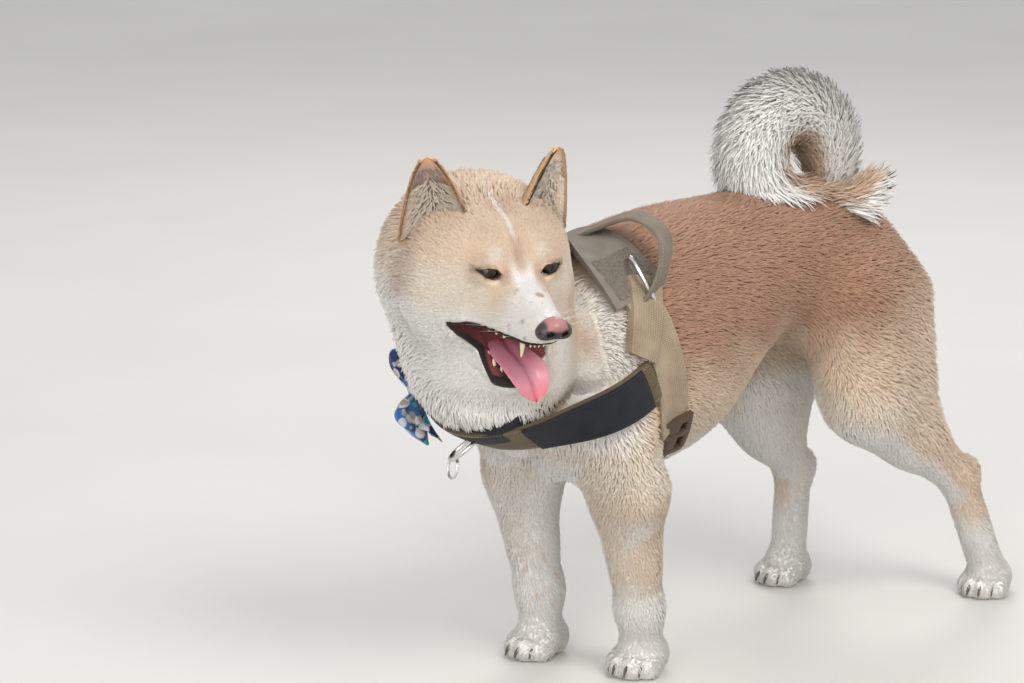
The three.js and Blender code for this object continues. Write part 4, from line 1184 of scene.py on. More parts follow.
def make_tufts(name, root, normal, way, length, width, lift, colours, flat_place=None, bend=0.12):
    """A mesh of tufts, with painted shade at their roots and painted light at their tips, with the skin's own
    normals and a patch of the map for each.
    """
    count = len(root)
    way = unit(way - dot(way, normal)[:, None] * normal)
    side_bend = RANDOM.normal(0, bend, count)
    points = tuft_arrays(root, normal, way, length, width, lift, side_bend)
    points[..., 2] = np.maximum(points[..., 2], 0.5)
    shade = RANDOM.normal(1.0, 0.045, count)[:, None, None]
    # Each tuft's colour, times its random tone and the painted shade at its root and painted light at its tip
    whole = np.clip(colours[:, None, :] * shade * TUFT_PAINTED_SHADING[None, :, None], 0, 0.95)
    starts = (np.arange(count) * 10)[:, None, None]
    quads = (TUFT_QUADS[None] + starts).reshape(-1, 4)
    tris = (TUFT_TRIS[None] + starts).reshape(-1, 3)
    flat = unwrap(root) if flat_place is None else flat_place
    uvs = (flat[:, None, :] + TUFT_LOCAL[None] * PATCH).reshape(-1, 2)
    mesh = mesh_of(name, points.reshape(-1, 3), [quads, tris], whole.reshape(-1, 3), uvs, "OFBake")
    side = np.cross(normal, way)
    facing = normal[:, None] + side[:, None] * TUFT_LOCAL[None, :, :1] * ROUNDNESS
    mesh.normals_split_custom_set_from_vertices(unit(facing).reshape(-1, 3).tolist())
    return mesh


def scattered(points, quads, density):
    """Roots spread over a surface by a density in tufts for each square millimetre."""
    a, b, c, d = (points[quads[:, k]] for k in range(4))
    first, second = np.cross(b - a, c - a), np.cross(c - a, d - a)
    area = (np.linalg.norm(first, axis=-1) + np.linalg.norm(second, axis=-1)) / 2
    middle = (a + b + c + d) / 4
    total = np.cumsum(area * density(middle))
    count = int(total[-1])
    at = np.searchsorted(total, (np.arange(count) + RANDOM.random(count)) * total[-1] / count)
    at = np.minimum(at, len(quads) - 1)
    u, v = RANDOM.random((2, count, 1))
    root = (a[at] * (1 - u) + b[at] * u) * (1 - v) + (d[at] * (1 - u) + c[at] * u) * v
    return root


def tuft_width(length):
    return np.clip(0.8 + 0.055 * length, 1.0, 1.9)


def coat_density(p):
    length = length_of(p)
    cover = COVER - (COVER - LEG_COVER) * ramp(p[:, 2], 190, 120)
    share = cover / (0.5 * length * tuft_width(length))
    share = share * (1 + 0.9 * (tail_field(p) < 3))
    quick = 1.0
    return share * quick


# Skins
SKINS = {
    "skin_body": (body_skin, [-150, -425, -3], [150, 300, 540], BODY_CELL, skin_colours, "coat_tan"),
    "skin_head": (head_skin, [-60, -470, 255], [190, -225, 480], HEAD_CELL, head_skin_colours, "coat_cream"),
}
SKIN_REPLACES = {
    "skin_body": ["torso", "neck", "foreleg_left", "foreleg_right", "hindleg_left", "hindleg_right", "tail"],
    "skin_head": ["head", "lower_jaw"],
}


def skins():
    """The body's and the head's skin, two pieces of one field that meet under the ruff."""
    made = {}
    for name, (field, low, high, cell, colours, slot) in SKINS.items():
        points, quads = polygons_of(field, low, high, cell)
        quads = outward(points, quads)
        normals = field_normals(points, quads)
        solid(name, (points, [quads]), SKIN, slot, SKIN_REPLACES[name], colours(points, normals))
        made[name] = (points, quads)
    return made


def field_normals(points, quads):
    a, b, c, d = (points[quads[:, k]] for k in range(4))
    face = np.cross(c - a, d - b)
    total = np.zeros_like(points)
    for k in range(4):
        for axis in range(3):
            total[:, axis] += np.bincount(quads[:, k], face[:, axis], len(points))
    return unit(total)


def bare_places(root, normal, length):
    """Where no hair grows: mouth, nose, eyes and soles. Also the lengths, short near the eyes."""
    ahead, _, _ = to_head(root).T
    bare = (mouth_field(root) < 2.4) & (ahead > MOUTH_CORNER - 3) & (ahead < 62)
    bare |= np.linalg.norm(halved(root) - [72, 0, -24], axis=-1) < 12.5
    bare |= distance_to(MOUTH_FLOOR, to_head(root)) < 2.5
    for side in SIDES:
        near = np.linalg.norm(root - EYES[side], axis=-1) < EYE_RADIUS + 5
        bare |= near & (lid_opening(to_head(root), side) < 1.4)
        length = np.where(near, LID_HAIR, length)
    bare |= (root[:, 2] < 6) & (normal[:, 2] < -0.5)
    return bare, length


def coat(made):
    """Tufts over both skins, sorted into pieces by the part of the body that they grow on."""
    body = scattered(*made["skin_body"], lambda p: coat_density(p) * (head_edge(p, *SKINS_MEET) >= 0))
    head = scattered(*made["skin_head"], lambda p: coat_density(p) * (head_edge(p, *SKINS_MEET) < 0))
    root = np.concatenate([body, head])
    normal = unit(gradient(skin_field, root, 1.0))
    way = lie_of(root, normal)
    length = length_of(root) * RANDOM.uniform(0.8, 1.2, len(root))
    rise = np.minimum(coat_depth(root), 9) * 0.85 / (0.58 * length)
    lift = np.arcsin(np.clip(rise * RANDOM.normal(1, 0.18, len(root)), 0.12, 0.85))
    on_head = head_edge(root, *SKINS_MEET) < 0
    lift = np.where(on_head, np.minimum(lift, HEAD_LIFT), lift)
    colours = coat_colours(root, normal)
    tail = is_tail(root)
    t, along, out, _ = tail_places(root[tail])
    way[tail] = along + out * 0.2 - UP * 0.7 * ramp(root[tail][:, 2], 425, 385)[:, None]
    length[tail] = TAIL_HAIR * RANDOM.uniform(0.7, 1.15, tail.sum()) - 12 * ramp(t, 0.12, 0.0)
    lift[tail] = np.radians(RANDOM.normal(46, 10, tail.sum()))
    colours[tail] = tail_colours(root[tail])
    bare, length = bare_places(root, normal, length)
    bare |= under_straps(root, -1.0)
    pressed = under_straps(root + unit(way) * (length * 0.6)[:, None], 0.0) & ~bare
    length[pressed] *= 0.8
    lift[pressed] *= 0.85
    _, y, z = root.T
    groups = {
        "coat_tail": tail,
        "coat_head": on_head,
        "coat_neck": (y < -205) & (z > 215),
        "coat_forelegs": (y < -120) & (z <= 215),
        "coat_hindlegs": (y > 40) & (z <= 262),
        "coat_trunk": np.ones(len(root), bool),
    }
    slots = {"coat_tail": "coat_white", "coat_trunk": "coat_tan"}
    free = ~bare
    for name, mine in groups.items():
        index = np.flatnonzero(mine & free)
        free &= ~mine
        parts = int(np.ceil(len(index) * 16 / PIECE_LIMIT))
        for k, some in enumerate(np.array_split(index, parts)):
            label = name if parts == 1 else f"{name}_{k + 1}"
            mesh = make_tufts(
                label, root[some], normal[some], way[some], length[some],
                tuft_width(length[some]), lift[some], colours[some],
            )
            piece(label, mesh, HAIR, slots.get(name, "coat_cream"))


# Ears
EAR_ROOT = [-64, 49, 18]
EAR_TIP = [-64, 62, 91]
EAR_HALF = 32
EAR_BULGE = 17
EAR_RIM = 2.4
EAR_ARC = np.radians(75)
EAR_ROWS = 34
EAR_COLUMNS = 25
# Hair of the ears: how many tufts, on the front or not, from and to across, length and lift in degrees
EAR_HAIR = (
    (3400, 0.0, -1.0, 1.0, 6, 16),
    (1800, 1.0, -1.0, 1.0, 4, 16),
    (900, 1.0, 0.86, 1.0, 6, 22),
    (900, 1.0, -1.0, -0.86, 6, 22),
    (500, 0.0, 0.90, 1.0, 6, 26),
    (500, 0.0, -1.0, -0.90, 6, 26),
)


def ear_frame(s):
    root = from_head(mirrored(EAR_ROOT, s))
    axis = from_head(mirrored(EAR_TIP, s)) - root
    ahead = unit(HEAD_FORWARD * 0.93 + HEAD_LEFT * 0.36 * s - HEAD_UP * 0.05)
    face = unit(ahead - unit(axis) * (ahead @ unit(axis)))
    return root, axis, face, np.cross(unit(axis), face)


def ear_point(s, t, k, front):
    """A point of the ear: t from root to tip, k from edge to edge, on its back or its front face."""
    root, axis, face, side = ear_frame(s)
    t, k, front = np.broadcast_arrays(t, k, front)
    half = EAR_HALF * (1 - t) ** 0.62 + 2
    bulge = EAR_BULGE * (1 - t) ** 0.6 + 1
    rim = np.minimum(EAR_RIM, half * 0.8) * front
    angle = EAR_ARC * k
    wide = (half - rim * 0.5) * np.sin(angle) / np.sin(EAR_ARC)
    deep = -bulge * (np.cos(angle) - np.cos(EAR_ARC)) / (1 - np.cos(EAR_ARC)) + rim
    return root + t[..., None] * axis + wide[..., None] * side + deep[..., None] * face


def ear_colours(t, k, front, s):
    edge = np.abs(k)
    tint = lerp(GREY, ROSY * 0.8, 0.35) if s < 0 else lerp(GREY, PALE, 0.6)
    # Painted shade: dark brown deep in the hollow of the ear's front face, towards its base
    deep = front * ramp(np.abs(k - 0.15), 0.4, 0.1) * ramp(t, 0.62, 0.2)
    return layered(
        lerp(CREAM, ORANGE, 0.7),
        (CREAM, 0.5 * ramp(t, 0.3, 0.0) * (1 - front)),
        (tint, front * ramp(edge, 0.86, 0.58) * ramp(t, 0.97, 0.8)),
        (BROWN * 0.55, deep * 0.8),
    )


def ears():
    k = np.linspace(-1, 1, EAR_COLUMNS)
    rows = np.linspace(0, 1, EAR_ROWS)
    t = np.append(np.repeat(rows, 2 * EAR_COLUMNS), [0, 1])
    across = np.append(np.tile(np.concatenate([k, k[::-1]]), EAR_ROWS), [0, 0])
    front = np.append(np.tile(np.repeat([0.0, 1.0], EAR_COLUMNS), EAR_ROWS), [0, 0])
    for side, s in SIDES.items():
        back_face = ear_point(s, rows[:, None], k[None], 0.0)
        front_face = ear_point(s, rows[:, None], k[None, ::-1], 1.0)
        form = loft(np.concatenate([back_face, front_face], 1))
        colours = ear_colours(t, across, front, s)
        crisp(solid(f"ear_{side}_skin", form, SKIN, "ear", [f"ear_{side}"], colours), 50)
        ear_coat(side, s)


def ear_coat(side, s):
    """Short hair on the back, a fringe on the rim and long pale hair from the inner edges."""
    _, axis, face, _ = ear_frame(s)
    kinds = []
    for count, front, low, high, length, lift in EAR_HAIR:
        t = 1 - np.sqrt(RANDOM.random(count) * 0.96 + 0.04)
        t = np.where(high - low < 1, RANDOM.random(count) * 0.93, t)
        k = RANDOM.uniform(low, high, count)
        kinds.append((t, k, *(np.full(count, float(x)) for x in (front, length, lift))))
    t, k, front, length, lift = (np.concatenate(x) for x in zip(*kinds))
    inner = RANDOM.random(len(t)) < 0.28 * front * (t < 0.6)
    length = np.where(inner, 13.0, length) * RANDOM.uniform(0.75, 1.2, len(t))
    lift = np.where(inner, 38.0, lift)
    step = 0.01
    here = ear_point(s, t, k, front)
    along = unit(ear_point(s, np.minimum(t + step, 1.0), k, front) - here + unit(axis) * 0.05)
    across = unit(ear_point(s, t, k + step, front) - ear_point(s, t, k - step, front))
    normal = unit(np.cross(across, along))
    turn = np.sign(np.mean(normal @ face))
    normal *= np.where(front > 0.5, turn, -turn)[:, None]
    rim = ramp(np.abs(k), 0.6, 0.9) * (front < 0.5)
    normal = unit(normal + face * (1.3 * rim)[:, None])
    back_spread = across * (k * 0.35)[:, None] * (front < 0.5)[:, None]
    way = along + back_spread - across * (k * 0.9)[:, None] * inner[:, None]
    colours = lerp(ear_colours(t, k, front, s), PALE, 0.75 * inner)
    flat = np.stack([(k + 1) / 8.6 + 0.76, t * 0.22 + 0.52 + 0.24 * front], -1)
    mesh = make_tufts(
        f"coat_ear_{side}", here, normal, way, length,
        tuft_width(length) * 0.8, np.radians(lift), colours, flat,
    )
    piece(f"coat_ear_{side}", mesh, HAIR, "ear")


# Eyes, nose, mouth, whiskers and claws
IRIS = np.array([0.035, 0.013, 0.006])
IRIS_EDGE = np.array([0.008, 0.004, 0.003])
PUPIL = np.array([0.002, 0.002, 0.002])
EYE_WHITE = np.array([0.03, 0.018, 0.014])


def eyes():
    angles = np.linspace(0.02, np.pi - 0.02, 40)
    around = np.linspace(0, 2 * np.pi, 48, endpoint=False)
    tilt = np.degrees(np.append(np.repeat(angles, 48), [0, np.pi]))
    colours = layered(
        IRIS,
        (IRIS_EDGE, ramp(tilt, 24, 33)),
        (PUPIL, ramp(tilt, 18, 15)),
        (EYE_WHITE, ramp(tilt, 44, 52)),
    )
    for side, s in SIDES.items():
        look = unit(HEAD_FORWARD + HEAD_LEFT * 0.16 * s - HEAD_UP * 0.06)
        across = unit(np.cross(look, UP))
        upward = np.cross(across, look)
        circle = np.cos(around)[:, None] * across + np.sin(around)[:, None] * upward
        rings = []
        for a in angles:
            bulge = EYE_RADIUS + 0.7 * np.exp(-(a / 0.5) ** 2)
            rings.append(EYES[side] + (look * np.cos(a) * bulge + circle * np.sin(a) * EYE_RADIUS))
        solid(f"eyeball_{side}", loft(rings), EYE, "eye", [f"eye_{side}"], colours)


def nose():
    middle = from_head(NOSE_PLACE)
    points, quads = polygons_of(nose_field, middle - [24, 24, 20], middle + [24, 24, 20], NOSE_CELL)
    ahead, left, up = (to_head(points) - NOSE_PLACE).T
    side = np.abs(left)
    nostril = np.linalg.norm((np.stack([ahead, side, up], -1) - NOSTRIL) / [8, 4.6, 3.6], axis=-1)
    colours = layered(
        np.array([0.26, 0.10, 0.095]),
        (np.array([0.40, 0.18, 0.17]), ramp(up, 2, 8) * 0.6),
        (BLACK, ramp(up, 3.0, -1.5)),
        (BLACK * 3, ramp(side, 7.5, 11)),
        # Painted shade: black in the nostril openings
        (BLACK, ramp(nostril, 1.35, 0.9)),
    )
    solid("nose_pad", (points, [outward(points, quads)]), NOSE, "nose", ["nose"], colours)


TONGUE_POINTS = [[-38, 0, -64], [-14, 2, -72], [6, 6, -80], [17, 10, -91], [22, 13, -107]]


def tongue():
    count, sides = 60, 48
    at, way = curve_through(from_head(TONGUE_POINTS), count)
    t = np.linspace(0, 1, count)
    half = 15 + 5 * np.sin(np.pi * t) - 10 * t ** 6
    half *= np.sqrt(np.clip(1 - ((t - 0.86).clip(0) / 0.145) ** 2, 0.03, 1))
    thick = (4.2 - 1.6 * t) * np.sqrt(np.clip(1 - ((t - 0.9).clip(0) / 0.105) ** 2, 0.08, 1))
    out = unit(np.cross(way, HEAD_LEFT))
    out *= np.sign(out @ (HEAD_UP * 0.6 + HEAD_FORWARD))[:, None]
    side = np.cross(out, way)
    angle = 2 * np.pi * np.arange(sides) / sides
    a = np.cos(angle)
    rings = []
    for k in range(count):
        top = np.maximum(np.sin(angle), 0)
        groove = -2.6 * np.exp(-(a / 0.16) ** 2) * top * ramp(t[k], 0.0, 0.2)
        cup = 2.6 * a ** 2 * ramp(t[k], 0.2, 0.7)
        rise = thick[k] * np.sin(angle) + groove + cup
        rings.append(at[k] + side[k] * (half[k] * a)[:, None] + out[k] * rise[:, None])
    along = np.append(np.repeat(t, sides), [0, 1])
    across = np.append(np.tile(a, count), [0, 0])
    colours = layered(
        np.array([0.52, 0.20, 0.25]),
        # Painted shade: darker along the middle, in the groove
        (np.array([0.40, 0.13, 0.18]), ramp(np.abs(across), 0.25, 0.02)),
        (np.array([0.58, 0.13, 0.15]), ramp(along, 0.72, 0.98) * 0.8),
        # Painted shade: darker towards the back, inside the mouth
        (np.array([0.26, 0.07, 0.09]), ramp(along, 0.3, 0.0)),
    )
    solid("tongue_form", loft(rings), TONGUE, "tongue", ["tongue"], colours)


def cone(root, tip, radius, bend):
    middle = (root + tip) / 2 + bend
    across, through = taper(radius, 0.6, 0.12), taper(radius * 0.8, 0.6, 0.1)
    return tube([root, middle, tip], across, through, 10, HEAD_FORWARD, 9)


def teeth_of(s):
    """One side's teeth: place, length, radius and whether they point up or down."""
    spots = [([40, 13, -48], 11, 2.9, -1), ([-2, 10, -89], 10, 2.5, 1)]
    for t in (0, 0.33, 0.66, 1):
        spots.append(([*between([-27, 22], [-7, 15], t), -67 - 15 * t], 7.0, 3.8, 1))
    for t in (0, 0.25, 0.5, 0.75):
        spots.append(([*between([-20, 22], [26, 16], t), -48 + 2 * t], 3.2, 3.0, -1))
    spots += [([4.5 - 0.5 * k, 2 + 3.2 * k, -90], 4.0, 1.4, 1) for k in range(2)]
    spots += [([50 - 0.8 * k, 2.2 + 3.6 * k, -44], 3.6, 1.6, -1) for k in range(3)]
    for (ahead, left, up), long, radius, way in spots:
        root = from_head([ahead, left * s, up - way * 3])
        tip = from_head([ahead - 1.5, left * s, up + way * long])
        yield cone(root, tip, radius, HEAD_FORWARD * 0.8)


def teeth():
    solid("teeth", joined([tooth for s in SIDES.values() for tooth in teeth_of(s)]), TOOTH)


def whisker(start, middle, end, wide, count):
    radius = lambda t: 0.17 * (1.08 - t)
    return tube([start, middle, end], radius, radius, 5, wide, count)


def whiskers():
    parts = []
    for s in SIDES.values():
        for row in range(3):
            for k in range(4):
                start = from_head([44 - 9 * k, s * (11 + 2.4 * k), -27 - 3.4 * row])
                reach = 30 + 7 * k + RANDOM.uniform(-3, 3)
                way = unit([0.25 - 0.30 * k, s, 0.35 - 0.12 * row]) @ HEAD_AXES
                end = start + way * reach - UP * reach * 0.10
                middle = (start + end) / 2 + HEAD_FORWARD * reach * 0.07
                parts.append(whisker(start, middle, end, UP, 12))
        for k in range(3):
            start = on_face(np.array([s * (17 + 3 * k)]), np.array([13.0]), -1.0)[0]
            end = start + unit(HEAD_UP + HEAD_FORWARD * 0.8 + HEAD_LEFT * s * 0.3 * k) * 18
            parts.append(whisker(start, (start + end) / 2, end, HEAD_LEFT, 8))
    solid("whiskers", joined(parts), WHISKER)


def claws():
    parts = []
    for name in PAWS:
        spot = paw_places(name)[0]
        for side, reach, r in TOES:
            root = spot(side, reach + r * 0.62, 12.5)
            knee = spot(side * 1.03, reach + r * 1.02, 10.5)
            tip = spot(side * 1.06, reach + r * 1.28, 4.0)
            across, through = taper(2.3, 0.5, 0.25), taper(1.7, 0.5, 0.2)
            parts.append(tube([root, knee, tip], across, through, 10, UP, 12))
    solid("claws", joined(parts), CLAW)


# Harness, collar and bow
def run_along(line):
    return np.concatenate([[0], np.cumsum(np.linalg.norm(np.diff(line, axis=0), axis=-1))])


def weave_places(run, s, half):
    """Places in metres along and across a strap, for its weave."""
    u = np.append(np.repeat(run, 2 * len(s)), [0, run[-1]])
    v = np.append(np.tile(np.concatenate([s, s[::-1]]) * half, len(run)), [0, 0])
    return np.stack([u, v], -1) / 1000


def band_form(band, low, high, width, over, under, count, rows=13, crown=0.5, sinks=None):
    """A strap as one closed solid, a little thicker along its middle, and its places for the weave."""
    degrees = np.linspace(low, high, count)
    s = np.linspace(-1, 1, rows)
    level = np.tile(over - crown * s ** 6, (count, 1))
    if sinks:
        level -= 10 * ramp(degrees, sinks[0], sinks[1])[:, None]
    top = band.at(degrees[:, None], s[None] * width / 2, level)
    bottom = band.at(degrees[:, None], s[None, ::-1] * width / 2 * 0.985, np.full(rows, under)[None])
    points, faces = loft(np.concatenate([top, bottom], 1))
    return points, faces, weave_places(run_along(top[:, rows // 2]), s, width / 2)


def strap_piece(name, span, material, over=2.4, under=-2.6, replaced=None, slot="webbing", sinks=None):
    band, low, high, width = span
    count = max(6, int((high - low) * 0.9))
    points, faces, uvs = band_form(band, low, high, width, over, under, count, sinks=sinks)
    crisp(solid(name, (points, faces), material, slot, [replaced] if replaced else (), uvs=uvs), 50)


def stitch_ends(line, pitch, long, spare):
    """Three points of each stitch along a line."""
    run = run_along(line)
    for start in np.arange(2.0, run[-1] - spare, pitch):
        yield [[np.interp(start + x * long, run, line[:, k]) for k in range(3)] for x in (0, 0.5, 1)]


def stitches(band, low, high, offsets, level, pitch=3.1, long=2.1, thick=0.34):
    """Raised threads in rows along a strap."""
    radius = lambda t: thick * (4 * t * (1 - t)) ** 0.35 + 0.03
    parts = []
    for offset in offsets:
        line = band.at(np.linspace(low, high, 160), np.full(160, float(offset)), np.full(160, level))
        for ends in stitch_ends(line, pitch, long, pitch):
            parts.append(tube(ends, radius, radius, 5, band.normal, 4))
    return parts


def cross_stitches(band, degrees, width, level, pitch=3.1, long=2.1, thick=0.34):
    """Raised threads in rows across a strap."""
    parts = []
    for angle in degrees:
        for start in np.arange(-width / 2, width / 2 - long, pitch):
            offsets = start + np.array([0, 0.5, 1]) * long
            ends = band.at(np.full(3, float(angle)), offsets, np.full(3, level))
            parts.append(tube(ends, thick, thick, 5, band.first, 4, round_ends=True))
    return parts


def harness():
    kinds = {
        "saddle": (SADDLE_CLOTH, 2.1),
        "side": (TAN_WEB, 2.4),
        "girth": (DARK_WEB, 2.4),
        "chest": (OLIVE_WEB, 2.4),
        "shoulder": (TAN_WEB, 5.0),
    }
    for name, span in STRAPS.items():
        cloth, top = kinds[name.split("_")[0]]
        strap_piece(name + "_cloth", span, cloth, top, replaced=name)
    threads = stitches(GIRTH_OVER, -49, 49, (-30, -27.5, 27.5, 30), 2.0)
    for low, high in ((51, 121), (-121, -51)):
        threads += stitches(GIRTH_OVER, low, high, (-16, -13, 13, 16), 2.3)
        threads += cross_stitches(GIRTH_OVER, (low + 4, low + 22, high - 22, high - 4), 30, 2.4)
    threads += stitches(CHEST, -90, 90, (-16.4, 16.4), 2.3)
    for low, high in ((45, 91), (-91, -45)):
        threads += stitches(SHOULDER, low, high, (-12.6, 12.6), 2.3)
    solid("stitching", joined(threads), THREAD, "webbing")
    for side, (low, high) in {"left": (24, 84), "right": (-84, -24)}.items():
        span = (CHEST, low, high, 38)
        strap_piece(f"patch_{side}_cloth", span, PATCH_CLOTH, 5.2, 3.0, f"patch_{side}", "patch")
        rim = stitches(CHEST, low + 1, high - 1, (-17.2, 17.2), 5.1, 2.2, 1.7, 0.3)
        rim += cross_stitches(CHEST, (low + 1.2, high - 1.2), 34, 5.2, 2.2, 1.7, 0.3)
        solid(f"patch_{side}_edge", joined(rim), BLACK_THREAD, "patch")
    fuzzy_patch()
    buckles()
    handle()
    rings()


def fuzzy_patch():
    """A patch of short looped pile on each side of the saddle."""
    count = 4200
    whole = 2 * count
    degrees = np.concatenate([RANDOM.uniform(22, 47, count), RANDOM.uniform(-47, -22, count)])
    offset = RANDOM.uniform(-24, 24, whole)
    root = GIRTH_OVER.at(degrees, offset, np.full(whole, 1.9))
    normal = GIRTH_OVER.ways(degrees)
    way = RANDOM.normal(0, 1, (whole, 3))
    colours = lerp(PILE_DARK, PILE_PALE, RANDOM.random(whole))
    flat = np.stack([(degrees + 60) / 120 * 0.2 + 0.52, (offset + 30) / 60 * 0.2 + 0.52], -1)
    length, width, lift = (np.full(whole, x) for x in (2.4, 0.7, 0.9))
    mesh = make_tufts("saddle_pile", root, normal, way, length, width, lift, colours, flat, 0.5)
    piece("saddle_pile", mesh, HAIR, "webbing")


def buckles():
    """A moulded side-release buckle at each end of the girth strap: three bars along and three across."""
    for side, (low, high) in {"left": (118, 136), "right": (-136, -118)}.items():
        parts = []
        for offset, width in ((-18, 7), (18, 7), (0, 14)):
            band = Band(trunk_field, GIRTH.middle + GIRTH.normal * offset, GIRTH.normal, UP)
            parts.append(band_form(band, low, high, width, 8.4, 2.9, 14, 7, 1.2)[:2])
        for angle in (low, (low + high) / 2 - 1, high):
            parts.append(band_form(GIRTH, angle - 1.2, angle + 1.2, 44, 8.8, 3.2, 5, 15, 1.6)[:2])
        crisp(solid(f"buckle_{side}_frame", joined(parts), PLASTIC, "buckle", [f"buckle_{side}"]), 45)


HANDLE_POINTS = [
    [-52, -186, 352], [-30, -180, 382], [10, -170, 406], [46, -162, 418],
    [76, -160, 404], [82, -168, 372], [66, -184, 332],
]
HANDLE_WIDE = np.array([-0.4, 1, 0.1])


def handle():
    """A flat padded loop with rolled edges and two rows of stitches on each face."""
    count, rows = 90, 13
    at, way = curve_through(HANDLE_POINTS, count)
    out = unit(np.cross(way, HANDLE_WIDE))
    side = np.cross(out, way)
    s = np.linspace(-1, 1, rows)
    thick = 1.9 + 0.5 * np.abs(s) ** 5 - 1.4 * np.abs(s) ** 24
    waist = 14 - 1.6 * np.sin(np.pi * np.linspace(0, 1, count)) ** 2
    depth = out[:, None] * thick[None, :, None]
    top, low = (at[:, None] + side[:, None] * (x * waist[:, None])[..., None] for x in (s, s[::-1]))
    form = loft(np.concatenate([top + depth, low - depth], 1))
    uvs = weave_places(run_along(at), s, 14)
    crisp(solid("handle_loop", form, HANDLE_WEB, "webbing", ["handle"], uvs=uvs), 50)
    threads = []
    for face in (-1, 1):
        for place in (-0.82, 0.82):
            line = at + side * (place * waist)[:, None] + out * (face * 2.1)
            for ends in stitch_ends(line, 3.1, 2.1, 3):
                threads.append(tube(ends, 0.34, 0.34, 5, HANDLE_WIDE, 4, round_ends=True))
    solid("handle_stitching", joined(threads), THREAD, "webbing")


def ring_form(middle, along, across, long, short, wire):
    """A ring of round wire, a little squarer across than an ellipse."""
    angle = np.linspace(0, 2 * np.pi, 48, endpoint=False)
    along = unit(along)
    across = unit(np.asarray(across) - along * (np.asarray(across) @ along))
    squared = np.sign(np.sin(angle)) * np.abs(np.sin(angle)) ** 0.8
    path = (
        np.asarray(middle)
        + along * (long / 2 * np.cos(angle))[:, None]
        + across * (short / 2 * squared)[:, None]
    )
    return tube(path, wire, wire, 12, np.cross(along, across), 96, closed=True)


def rings():
    ring = ring_form(SADDLE_RING_MIDDLE, [0.45, 0.25, -0.86], [-0.72, 0.66, -0.19], 44, 30, 2.3)
    solid("saddle_ring_wire", ring, STEEL, "ring", ["saddle_ring"])
    parts = [
        ring_form([-8, -325, 225], [-0.7, -0.35, -0.62], [0.55, -0.8, -0.2], 30, 24, 2.0),
        ring_form([-15, -330, 208], [0.1, -0.25, -1], [0.9, -0.2, 0.1], 19, 15, 0.8),
        ring_form([-15, -331.4, 207.6], [0.12, -0.25, -1], [0.9, -0.22, 0.1], 19, 15, 0.8),
    ]
    solid("collar_ring_wire", joined(parts), STEEL, "ring", ["collar_ring"])


def collar():
    """The collar, which runs on under the ruff at both ends and sinks into it on the left."""
    low, high, width = COLLAR_SPAN
    span = (COLLAR, low - 6, high + 20, width)
    strap_piece("collar_web", span, COLLAR_WEB, 2.5, -12, "collar", "collar", (high - 14, high + 6))
    threads = stitches(COLLAR, low, high, (-9.6, 9.6), 2.3)
    solid("collar_stitching", joined(threads), BLACK_THREAD, "collar")


BOW_ANGLE = -55
BOW_OUT = COLLAR.ways(np.array(float(BOW_ANGLE)))
BOW_ALONG = np.cross(COLLAR.normal, BOW_OUT)
BOW_PLACE = COLLAR.at(np.array([float(BOW_ANGLE)]), np.array([0.0]), np.array([10.6]))[0]


def in_bow(a, o, n):
    a, o, n = np.broadcast_arrays(np.asarray(a, float), o, n)
    return BOW_PLACE + a[..., None] * BOW_ALONG + o[..., None] * BOW_OUT + n[..., None] * COLLAR.normal


def bow_loop(s, tilt):
    """One gathered loop, a closed form that widens away from the knot."""
    angle = np.linspace(0, 2 * np.pi, 56, endpoint=False)
    rings = []
    for t in np.linspace(0, 1, 40):
        spread = 7 + 15 * np.sin(min(1, 1.25 * t) * np.pi / 2)
        thick = 3.4 + 5.2 * np.sin(np.pi * t) ** 0.8
        fold = 1 + 0.10 * (1 - t) * np.cos(9 * angle) + 0.05 * np.cos(5 * angle + 4 * t)
        dip = 2.6 * np.sin(np.pi * t) * np.cos(3 * angle)
        end = 1 - 0.22 * np.exp(-((t - 1) / 0.05) ** 2)
        rings.append(in_bow(
            s * (4 + 37 * t) + 1.5 * np.cos(angle * 2) * t,
            4 + 9 * np.sin(2.4 * t) + (thick * np.sin(angle) * fold + 0.4 * dip) * end,
            tilt * t * t + spread * np.cos(angle) * fold * end,
        ))
    return loft(rings)


def bow_end(s, reach):
    """One loose end, a thin waving strip with a notch cut in it."""
    across = np.linspace(-1, 1, 15)
    rings = []
    for t in np.linspace(0, 1, 26):
        half = 5 + 11 * t
        notch = -7 * (1 - np.abs(across)) * ramp(t, 0.75, 1.0)
        wave = 2.6 * np.sin(5 * across + 3 * t) * t
        n = -14 * t + half * across
        a = s * (3 + (reach + notch) * t)
        lift = 1.5 + 2.5 * np.sin(3 * t) + wave
        rings.append(np.concatenate([in_bow(a, lift + 0.5, n), in_bow(a, lift - 0.5, n)[::-1]]))
    return loft(rings)


def bow_knot():
    angle = np.linspace(0, 2 * np.pi, 40, endpoint=False)
    rings = []
    for t in np.linspace(-1, 1, 24):
        size = np.sqrt(1 - 0.35 * t * t) * (1 + 0.06 * np.cos(6 * angle + 2 * t))
        rings.append(in_bow(8 * np.cos(angle) * size, 3 - 2 * t * t + 7 * np.sin(angle) * size, 11.5 * t))
    return loft(rings)


def bow():
    """Two gathered loops, two loose ends and a knot of printed cotton."""
    for name, s, tilt in (("upper", -1, 6), ("lower", 1, -4)):
        solid(f"bow_{name}_loop", bow_loop(s, tilt), BOW_CLOTH, "bow", [f"bow_lobe_{name}"])
    solid("bow_ends", joined([bow_end(-1, 33), bow_end(1, 36)]), BOW_CLOTH, "bow")
    solid("bow_knot_cloth", bow_knot(), BOW_CLOTH, "bow", ["bow_knot"])


# Room, lights and camera
LIGHTS_AIM = Vector((0, 0, 0.25))
# Lights: name, place in metres, power in watts, size in metres and colour
LIGHTS = (
    ("key", (2.0, -0.5, 2.4), 50, 1.2, (1.0, 0.965, 0.91)),
    ("fill", (1.5, -2.7, 1.2), 56, 2.2, (1.0, 0.985, 0.965)),
    ("rim", (-1.6, 1.8, 2.2), 26, 1.2, (1.0, 0.97, 0.93)),
)


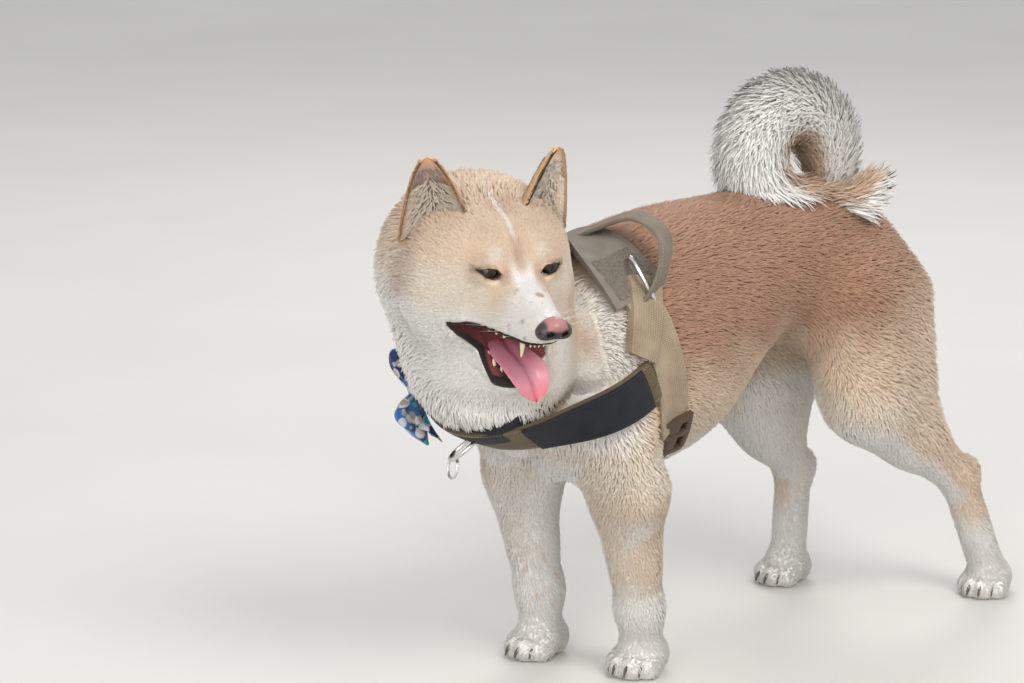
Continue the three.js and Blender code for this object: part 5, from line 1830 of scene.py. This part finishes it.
def stand(name, data, place, target):
    """An object for a light or a camera, turned to look at its target."""
    made = bpy.data.objects.new(name, data)
    made.location = place
    made.rotation_euler = (target - Vector(place)).to_track_quat("-Z", "Y").to_euler()
    bpy.context.scene.collection.objects.link(made)
    return made


def room():
    bpy.ops.mesh.primitive_plane_add(size=14)
    floor = bpy.context.object
    floor.name = "floor"
    node, finish = shader("pale_floor", Roughness=0.7)
    cloud = noise(node, 3.0, 3.0)
    floor.data.materials.append(finish(mixed(node, cloud, (0.56, 0.55, 0.53, 1), (0.62, 0.61, 0.59, 1))))
    world = bpy.data.worlds.new("studio")
    world.use_nodes = True
    back = world.node_tree.nodes["Background"]
    back.inputs["Color"].default_value = (0.97, 0.98, 1.0, 1)
    back.inputs["Strength"].default_value = 0.82
    bpy.context.scene.world = world
    bpy.context.scene.view_settings.view_transform = "Standard"
    for name, place, power, size, colour in LIGHTS:
        data = bpy.data.lights.new(name, "AREA")
        data.energy, data.size, data.color = power, size, colour
        stand(name, data, place, LIGHTS_AIM)


def camera():
    data = bpy.data.cameras.new("photo_camera")
    data.lens = CAMERA_LENS
    data.sensor_width = 36
    place, target = (Vector(placed(p)) for p in (CAMERA_PLACE, CAMERA_TARGET))
    bpy.context.scene.camera = stand("photo_camera", data, place, target)


# Materials of every piece
HAIR = coat_material()
SKIN = skin_material()
EYE = attribute_material("wet_eye", 0.16, 3000.0, 0.000002, 0.1)
NOSE = attribute_material("nose_leather", 0.42, 1100.0, 0.0003, 0.3)
TONGUE = attribute_material("tongue_flesh", 0.36, 1500.0, 0.0002, 0.3)
TOOTH = plain_material("tooth_enamel", [0.66, 0.56, 0.38], 0.25, 250.0, 0.2, Coat_Weight=0.4)
CLAW = plain_material("claw_horn", [0.10, 0.07, 0.05], 0.4, 500.0, 0.5)
WHISKER = plain_material("whisker_hair", [0.72, 0.68, 0.62], 0.4)
TAN_WEB = woven_material("tan_webbing", [0.36, 0.285, 0.195], [0.17, 0.13, 0.085], 0.0016)
OLIVE_WEB = woven_material("olive_webbing", [0.15, 0.115, 0.060], [0.06, 0.045, 0.024], 0.0015)
DARK_WEB = woven_material("brown_webbing", [0.085, 0.052, 0.030], [0.03, 0.018, 0.011], 0.0015)
SADDLE_CLOTH = woven_material("saddle_cloth", [0.27, 0.235, 0.20], [0.17, 0.145, 0.12], 0.0008, 0.6)
HANDLE_WEB = woven_material("handle_webbing", [0.24, 0.205, 0.155], [0.11, 0.095, 0.07], 0.0013)
PATCH_CLOTH = woven_material("patch_cloth", [0.010, 0.012, 0.018], [0.004, 0.005, 0.008], 0.0006, 0.6)
COLLAR_WEB = woven_material("collar_webbing", [0.022, 0.021, 0.024], [0.008, 0.008, 0.010], 0.0012)
THREAD = plain_material("tan_thread", [0.33, 0.27, 0.19], 0.7, 2500.0)
BLACK_THREAD = plain_material("black_thread", [0.03, 0.03, 0.035], 0.7, 2500.0)
BOW_CLOTH = bow_material()
STEEL = metal_material()
PLASTIC = plastic_material()

camera()
room()
coat(skins())
ears()
eyes()
nose()
tongue()
teeth()
whiskers()
claws()
harness()
collar()
bow()
